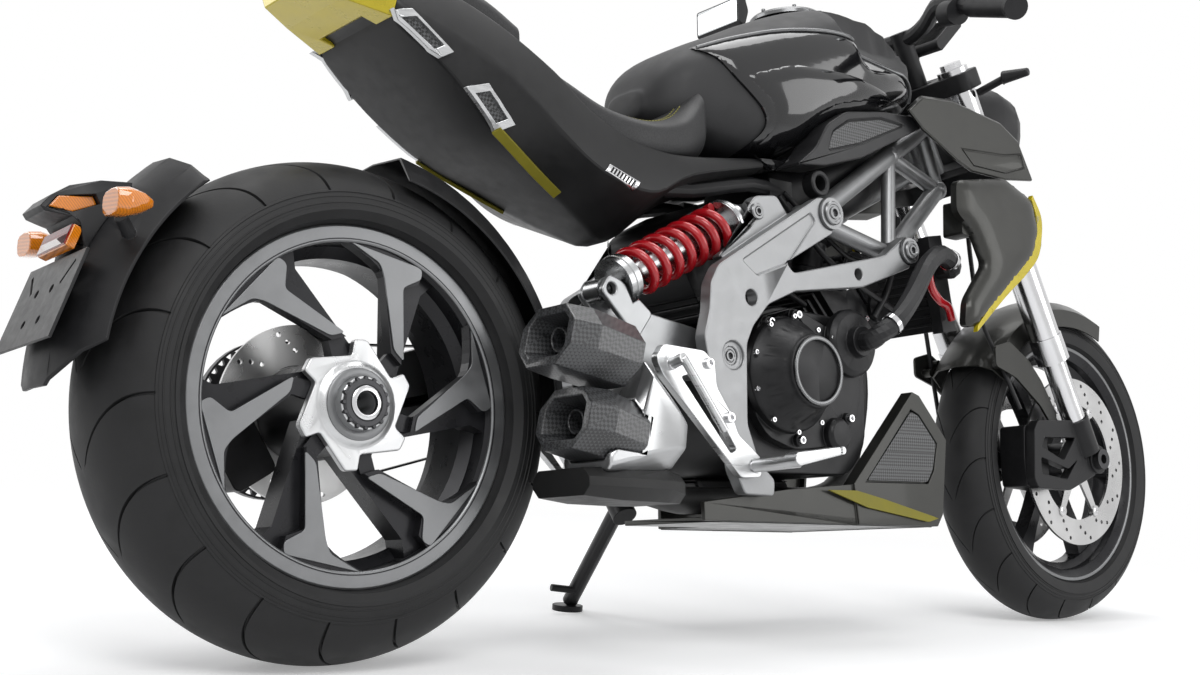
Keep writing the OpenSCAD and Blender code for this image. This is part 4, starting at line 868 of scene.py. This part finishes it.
def radiator_shrouds():
    shell = rounded([(1082, 749), (1216, 772), (1294, 744), (1308, 690), (1288, 640), (1196, 566),
                     (1116, 502), (1084, 500), (1092, 545), (1150, 612), (1122, 664), (1078, 696)], 12)
    stay = rounded([(1100, 660), (1140, 660), (1150, 720), (1104, 720)], 6)
    shrouds = laid(Form(), shell, flat(SHROUD_Y + 4), lift=2, depth=12, crown=12, reach=46, step=10)
    laid(shrouds, stay, flat(SHROUD_STAY_Y), lift=0, depth=40, step=30)
    make("radiator_shroud_shells", shrouds.mirrored(), "panel_grey", degrees=50,
         replaces=("radiator_shrouds",))
    outer = spline([(1292, 752), (1314, 716), (1312, 678), (1296, 638), (1252, 600), (1196, 560),
                    (1110, 492)], 5)
    inner = spline([(1288, 744), (1298, 714), (1294, 680), (1276, 646), (1236, 614), (1190, 578),
                    (1112, 503)], 5)
    edges = laid(Form(), [tuple(p) for p in outer + inner[::-1]], flat(SHROUD_Y - 2), lift=2, depth=9)
    make("shroud_edges", edges.mirrored(), "yellow", bevel=1.2, degrees=30)


def mesh_insets():
    side_mesh = rounded([(802, 765), (880, 789), (984, 834), (930, 835), (852, 817), (815, 795)], 5)
    belly_mesh = rounded([(870, 243), (984, 356), (1002, 350), (1044, 306), (1033, 264), (1018, 243)], 5)
    insets = laid(Form(), side_mesh, flat(SIDE_MESH_Y), lift=0.6, depth=2)
    laid(insets, belly_mesh, flat(BELLY_MESH_Y), lift=0, depth=2)
    make("mesh_insets", insets.mirrored(), "panel_dark", finish="mesh")


def belly_flash():
    outline = rounded([(772, 226), (838, 226), (900, 214), (1036, 184), (1010, 178), (862, 200)], 3)
    flash = laid(Form(), outline, flat(BELLY_FLASH_Y), lift=0.5, depth=3)
    make("belly_flash", flash.mirrored(), "yellow", bevel=0.4, degrees=30, finish="yellow_dull")


# ---- screws and rings on the engine and the frame ----
COVER_Y = -166
CLUTCH_X, CLUTCH_Z = 700, 398
CLUTCH_RIM_Y, CLUTCH_FACE_Y = -179, -225.6
HANGER_Y = -199
HEAD_BOLT_Y = -79
COVER_BOLTS = [(662, 476), (722, 492), (800, 462), (858, 417), (833, 338), (720, 300), (642, 345), (640, 438)]
HANGER_BOLTS = [(500, 398), (538, 323), (430, 392), (586, 256)]
# Places of the frame's joints, with the radii of their bolts.
JOINT_BOLTS = [(786, -190, 655, 19), (974, -190, 618, 16), (645, -163, 644, 13), (565, -173, 416, 15)]
# Middle of each cylinder head in side view.
HEADS = [(960, 545), (628, 628)]


def engine_bolts():
    bolts = Form()
    for x, z in COVER_BOLTS:
        bolts.bolt((x, COVER_Y, z), radius=6.5, height=6)
    for x, z in around(88, 10, 18):
        bolts.bolt((CLUTCH_X + x, CLUTCH_RIM_Y, CLUTCH_Z + z), radius=4.2, height=4)
    make("engine_bolts", bolts, "bright_metal", finish="chrome")


def clutch_ring():
    ring = Form().lathe((CLUTCH_X, CLUTCH_FACE_Y, CLUTCH_Z), RIGHT,
                        [(46, 0), (46, 2.4), (47, 3), (51, 3), (52, 2.2), (52, 0)], sides=72)
    make("clutch_ring", ring, "engine_black", finish="trim_metal_and_highlight")


def joint_bolts():
    bolts = Form()
    for x, y, z, r in JOINT_BOLTS:
        bolts.lathe((x, y, z), RIGHT, [(r, 0), (r, 3), (r - 1.5, 4.5), (r - 5, 4.5), (r - 6, 3.4),
                                       (r * 0.55, 3.4), (r * 0.5, 5.5), (r * 0.34, 5.5), (r * 0.3, 1),
                                       (0, 1)], sides=36)
    make("joint_bolts", bolts, "bright_metal", finish="trim_metal_and_highlight")


def hanger_bolts():
    bolts = Form()
    for x, z in HANGER_BOLTS:
        bolts.bolt((x, HANGER_Y, z), radius=8, height=6)
    make("hanger_bolts", bolts.mirrored(), "bright_metal", finish="chrome")


def coolant_details():
    path = spline([(1066, -166, 620), (1050, -166, 592), (1055, -166, 566), (1074, -166, 548),
                   (1098, -164, 540), (1112, -160, 520)], 6)
    make("red_hose", Form().tube(path, 7, 14), "hose", finish="spring_red")
    clamps = Form()
    for foot, direction in (((1076, -187, 615), (1, 0.25, -0.1)), ((870, -225, 480), (1, -0.25, 0.75))):
        clamps.lathe(foot, direction, [(17, 0), (18.4, 0.5), (18.4, 9), (17, 9.5)], sides=32)
    make("hose_clamps", clamps, "hose", finish="chrome")


# ---- lamps, mirrors and brake lines ----
PLATE_CENTRE, PLATE_TILT = (-349, 0, 503), math.radians(21)
REFLECTOR = MACHINE @ Matrix.Translation(PLATE_CENTRE) @ Matrix.Rotation(PLATE_TILT, 4, "Y")
BAR_HEIGHT = 871
MIRROR_X, MIRROR_Y, MIRROR_HEIGHT = -AXLE_OFFSET - 46, 300, BAR_HEIGHT + 159


def reflector():
    plate = Form(REFLECTOR).slab(rounded([(-8, -13), (-4.5, -13), (-4.5, 13), (-8, 13)], 0.8, 2), -44, 44)
    make("rear_reflector", plate, "lamp_amber", bevel=0.8, finish="lamp_red")


def mirror_glasses():
    pane = rounded([(-13.6, -24), (-12, -24), (-12, 22), (-13.6, 22)], 0.5, 2)
    for name, side in (("right", -1), ("left", 1)):
        head = (FORK @ Matrix.Translation((MIRROR_X, side * MIRROR_Y, MIRROR_HEIGHT))
                @ Matrix.Rotation(RAKE, 4, "Y"))
        make("mirror_glass_" + name, Form(head).slab(pane, -54, 54), "black_plastic", "front_assembly",
             finish="glass")


def brake_lines():
    path = spline([(-44, -62, 560), (-96, -66, 450), (-122, -64, 350), (-132, -80, 250), (-140, -92, 170)], 8)
    make("front_brake_lines", Form(FORK).tube(path, 4.2, 12).mirrored(), "black_plastic", "front_assembly",
         finish="hose")


# ---- what fills the open frame ----
AIRBOX = [[770, 84, 640, 748], [860, 104, 660, 772], [960, 104, 690, 812], [1040, 84, 730, 840]]
# Foot and top of each throttle body in side view; they lean outwards between the two half widths.
THROTTLES = [((806, 600), (842, 668)), ((880, 590), (900, 680))]
THROTTLE_FOOT_Y, THROTTLE_TOP_Y = 40, 52
INTAKE_LUG = (783, -150, 707)
WIRES = [([(740, -120, 690), (800, -128, 628), (870, -118, 590), (960, -108, 560), (1030, -100, 540)], 5),
         ([(760, -112, 700), (840, -122, 640), (930, -112, 610), (1040, -104, 640)], 4),
         ([(700, -110, 660), (690, -120, 600), (720, -128, 548), (790, -120, 520)], 5),
         ([(1060, -96, 700), (1030, -112, 640), (1010, -108, 570), (980, -100, 520)], 6)]


def intake():
    lugs = Form()
    lugs.lathe(INTAKE_LUG, RIGHT, [(21, 0), (21, 20), (19, 22), (14, 22), (12, 20), (12, 0)], sides=36)
    make("intake_lugs", lugs.mirrored(), "panel_dark", bevel=0.5, finish="black_cast")
    make("airbox", oval_body(AIRBOX, 4, 4), "engine_black", degrees=50, finish="black_plastic")
    throttles = Form()
    for side in (-1, 1):
        for (foot_x, foot_z), (top_x, top_z) in THROTTLES:
            foot = Vector((foot_x, side * THROTTLE_FOOT_Y, foot_z))
            way = Vector((top_x, side * THROTTLE_TOP_Y, top_z)) - foot
            throttles.lathe(foot, way, [(30, 0), (30, 10), (26, 12), (26, way.length * 0.6),
                                        (33, way.length * 0.65), (33, way.length), (0, way.length)], sides=32)
    make("throttle_bodies", throttles, "engine_black", bevel=0.8)


def wiring():
    wires = Form()
    for points, radius in WIRES:
        wires.tube(spline(points, 8), radius, 10)
    make("engine_wiring", wires, "hose")


def head_bolts():
    bolts = Form()
    for x, z in HEADS:
        for along, up in around(34, 4, 45):
            bolts.bolt((x + along, HEAD_BOLT_Y, z + up), radius=5, height=5)
    make("head_bolts", bolts, "bright_metal", finish="chrome")


# ---- spring and its seats ----
SHOCK_LOW, SHOCK_TOP = Vector((364, -125, 499)), Vector((645, -125, 644))
SHOCK_WAY = SHOCK_TOP - SHOCK_LOW
SHOCK = (MACHINE @ Matrix.Translation(SHOCK_LOW)
         @ Matrix.Rotation(math.atan2(SHOCK_WAY.x, SHOCK_WAY.z), 4, "Y"))
COIL_RADIUS, COIL_TURNS, COIL_STEPS, WIRE_RADIUS = 32, 7.5, 240, 7.0
COIL_LOW, COIL_HIGH = 59, SHOCK_WAY.length - 49
COLLAR_FROM_END = 40


def spring():
    coil = []
    for k in range(COIL_STEPS + 1):
        x, y = polar(COIL_RADIUS, 360 * COIL_TURNS * k / COIL_STEPS)
        coil.append((x, y, COIL_LOW + (COIL_HIGH - COIL_LOW) * k / COIL_STEPS))
    make("shock_coil", Form(SHOCK).tube(coil, WIRE_RADIUS, 16), "spring_red", degrees=60,
         replaces=("shock_spring",))
    collars = Form(SHOCK)
    for height in (COLLAR_FROM_END, SHOCK_WAY.length - COLLAR_FROM_END):
        collars.lathe((0, 0, height), UP, [(37.4, 0), (38.4, 1), (38.4, 5), (37.4, 6), (36, 6), (36, 0)],
                      sides=48)
    make("spring_collars", collars, "shock_metal")


# ---- camera, at the height and place from which the machine is seen ----
CAMERA_FROM_AXLE = Vector((-0.97252, -1.74503, 0.04141))
CAMERA_YAW = math.radians(50.764)
CAMERA_PITCH = math.radians(2.281)
CAMERA_ROLL = math.radians(4.056)


def add_camera():
    yaw, pitch, roll = CAMERA_YAW, CAMERA_PITCH, CAMERA_ROLL
    ahead = Vector((math.cos(yaw) * math.cos(pitch), math.sin(yaw) * math.cos(pitch), math.sin(pitch)))
    side = Vector((math.sin(yaw), -math.cos(yaw), 0))
    above = side.cross(ahead)
    rolled_side = math.cos(roll) * side + math.sin(roll) * above
    rolled_up = -math.sin(roll) * side + math.cos(roll) * above
    data = bpy.data.cameras.new("camera")
    data.lens = 45.47
    data.sensor_width = 36
    camera = bpy.data.objects.new("camera", data)
    bpy.context.scene.collection.objects.link(camera)
    axes = Matrix((rolled_side, rolled_up, -ahead)).transposed().to_4x4()
    camera.matrix_world = Matrix.Translation(REAR_AXLE + CAMERA_FROM_AXLE) @ axes
    bpy.context.scene.camera = camera


# ---- studio, in metres ----
FLOOR_LIFT = 0.3
FLOOR_HALF = 14
# The floor turns to the white of the background between these distances from the machine.
FADE_FROM, FADE_TO = 1.3, 2.6
LAMPS_LOOK_AT = Vector((0, 0, 0.5))
# Name, place, width, height and power of each lamp.
LAMPS = [
    ("key", (-1.6, -2.6, 3.0), 2.4, 1.6, 70),
    ("fill", (2.2, -3.0, 1.6), 2.0, 2.0, 35),
    ("top", (0.2, 0.3, 3.4), 3.0, 1.6, 60),
    ("back", (-2.5, 2.4, 2.0), 2.0, 1.6, 30),
]


def worked_out(nodes, links, operation, first, second):
    """Math node on two sockets, or on a socket and a number."""
    node = added(nodes, "ShaderNodeMath")
    node.operation = operation
    links.new(first, node.inputs[0])
    if isinstance(second, float):
        node.inputs[1].default_value = second
    else:
        links.new(second, node.inputs[1])
    return node.outputs[0]


def mixed(nodes, links, share, first, second, socket):
    """Mix Shader node between two shader nodes."""
    mix = added(nodes, "ShaderNodeMixShader")
    links.new(share, mix.inputs["Fac"])
    links.new(first.outputs[0], mix.inputs[1])
    links.new(second.outputs[0], mix.inputs[2])
    links.new(mix.outputs[0], socket)


def floor_material():
    """Pale floor that keeps the shadow near the machine and ends in plain white."""
    material, nodes, links = new_material("floor")
    shader = shader_of(nodes, Base_Color=(0.88, 0.88, 0.88, 1), Roughness=0.9, Specular_IOR_Level=0.1,
                       Emission_Color=(1, 1, 1, 1))
    path = added(nodes, "ShaderNodeLightPath")
    seen = worked_out(nodes, links, "MAXIMUM", path.outputs["Is Camera Ray"], path.outputs["Is Glossy Ray"])
    links.new(worked_out(nodes, links, "MULTIPLY", seen, FLOOR_LIFT), shader.inputs["Emission Strength"])
    place = added(nodes, "ShaderNodeTexCoord")
    reach = added(nodes, "ShaderNodeVectorMath")
    reach.operation = "LENGTH"
    links.new(place.outputs["Object"], reach.inputs[0])
    fade = added(nodes, "ShaderNodeMapRange", From_Min=FADE_FROM, From_Max=FADE_TO)
    fade.interpolation_type = "SMOOTHSTEP"
    links.new(reach.outputs["Value"], fade.inputs["Value"])
    share = worked_out(nodes, links, "MULTIPLY", fade.outputs["Result"], seen)
    white = added(nodes, "ShaderNodeEmission")
    mixed(nodes, links, share, shader, white, nodes["Material Output"].inputs["Surface"])
    return material


def add_world():
    """Soft light from all round, which shows as plain white where it is seen."""
    world = bpy.data.worlds.new("studio")
    bpy.context.scene.world = world
    world.use_nodes = True
    nodes, links = world.node_tree.nodes, world.node_tree.links
    nodes.clear()
    output = added(nodes, "ShaderNodeOutputWorld")
    light = added(nodes, "ShaderNodeBackground", Color=(0.86, 0.88, 0.92, 1), Strength=0.34)
    white = added(nodes, "ShaderNodeBackground", Color=(1, 1, 1, 1), Strength=1.0)
    path = added(nodes, "ShaderNodeLightPath")
    seen = worked_out(nodes, links, "MAXIMUM", path.outputs["Is Camera Ray"],
                      path.outputs["Is Transmission Ray"])
    seen = worked_out(nodes, links, "MAXIMUM", seen, path.outputs["Is Glossy Ray"])
    mixed(nodes, links, seen, light, white, output.inputs["Surface"])


def add_lamps():
    for name, place, width, height, power in LAMPS:
        data = bpy.data.lights.new(name, "AREA")
        data.shape = "RECTANGLE"
        data.size = width
        data.size_y = height
        data.energy = power
        lamp = bpy.data.objects.new(name, data)
        lamp.location = place
        lamp.rotation_euler = (LAMPS_LOOK_AT - lamp.location).to_track_quat("-Z", "Y").to_euler()
        bpy.context.scene.collection.objects.link(lamp)


def add_floor():
    h = FLOOR_HALF
    mesh = bpy.data.meshes.new("floor")
    mesh.from_pydata([(-h, -h, 0), (h, -h, 0), (h, h, 0), (-h, h, 0)], [], [(0, 1, 2, 3)])
    floor = bpy.data.objects.new("floor", mesh)
    bpy.context.scene.collection.objects.link(floor)
    floor.data.materials.append(floor_material())


for part in (tyres, rear_rim, rear_hub, front_wheel, plain_nodes, tank, filler_cap, seats, tail,
             radiator_shrouds, mesh_insets, belly_flash, engine_bolts, clutch_ring, joint_bolts,
             hanger_bolts, coolant_details, reflector, mirror_glasses, brake_lines, intake, wiring,
             head_bolts, spring, add_camera, add_world, add_lamps, add_floor):
    part()
bpy.context.scene.view_settings.view_transform = "Standard"


def corners(box):
    return [[round(c, 5) for c in corner] for corner in box]
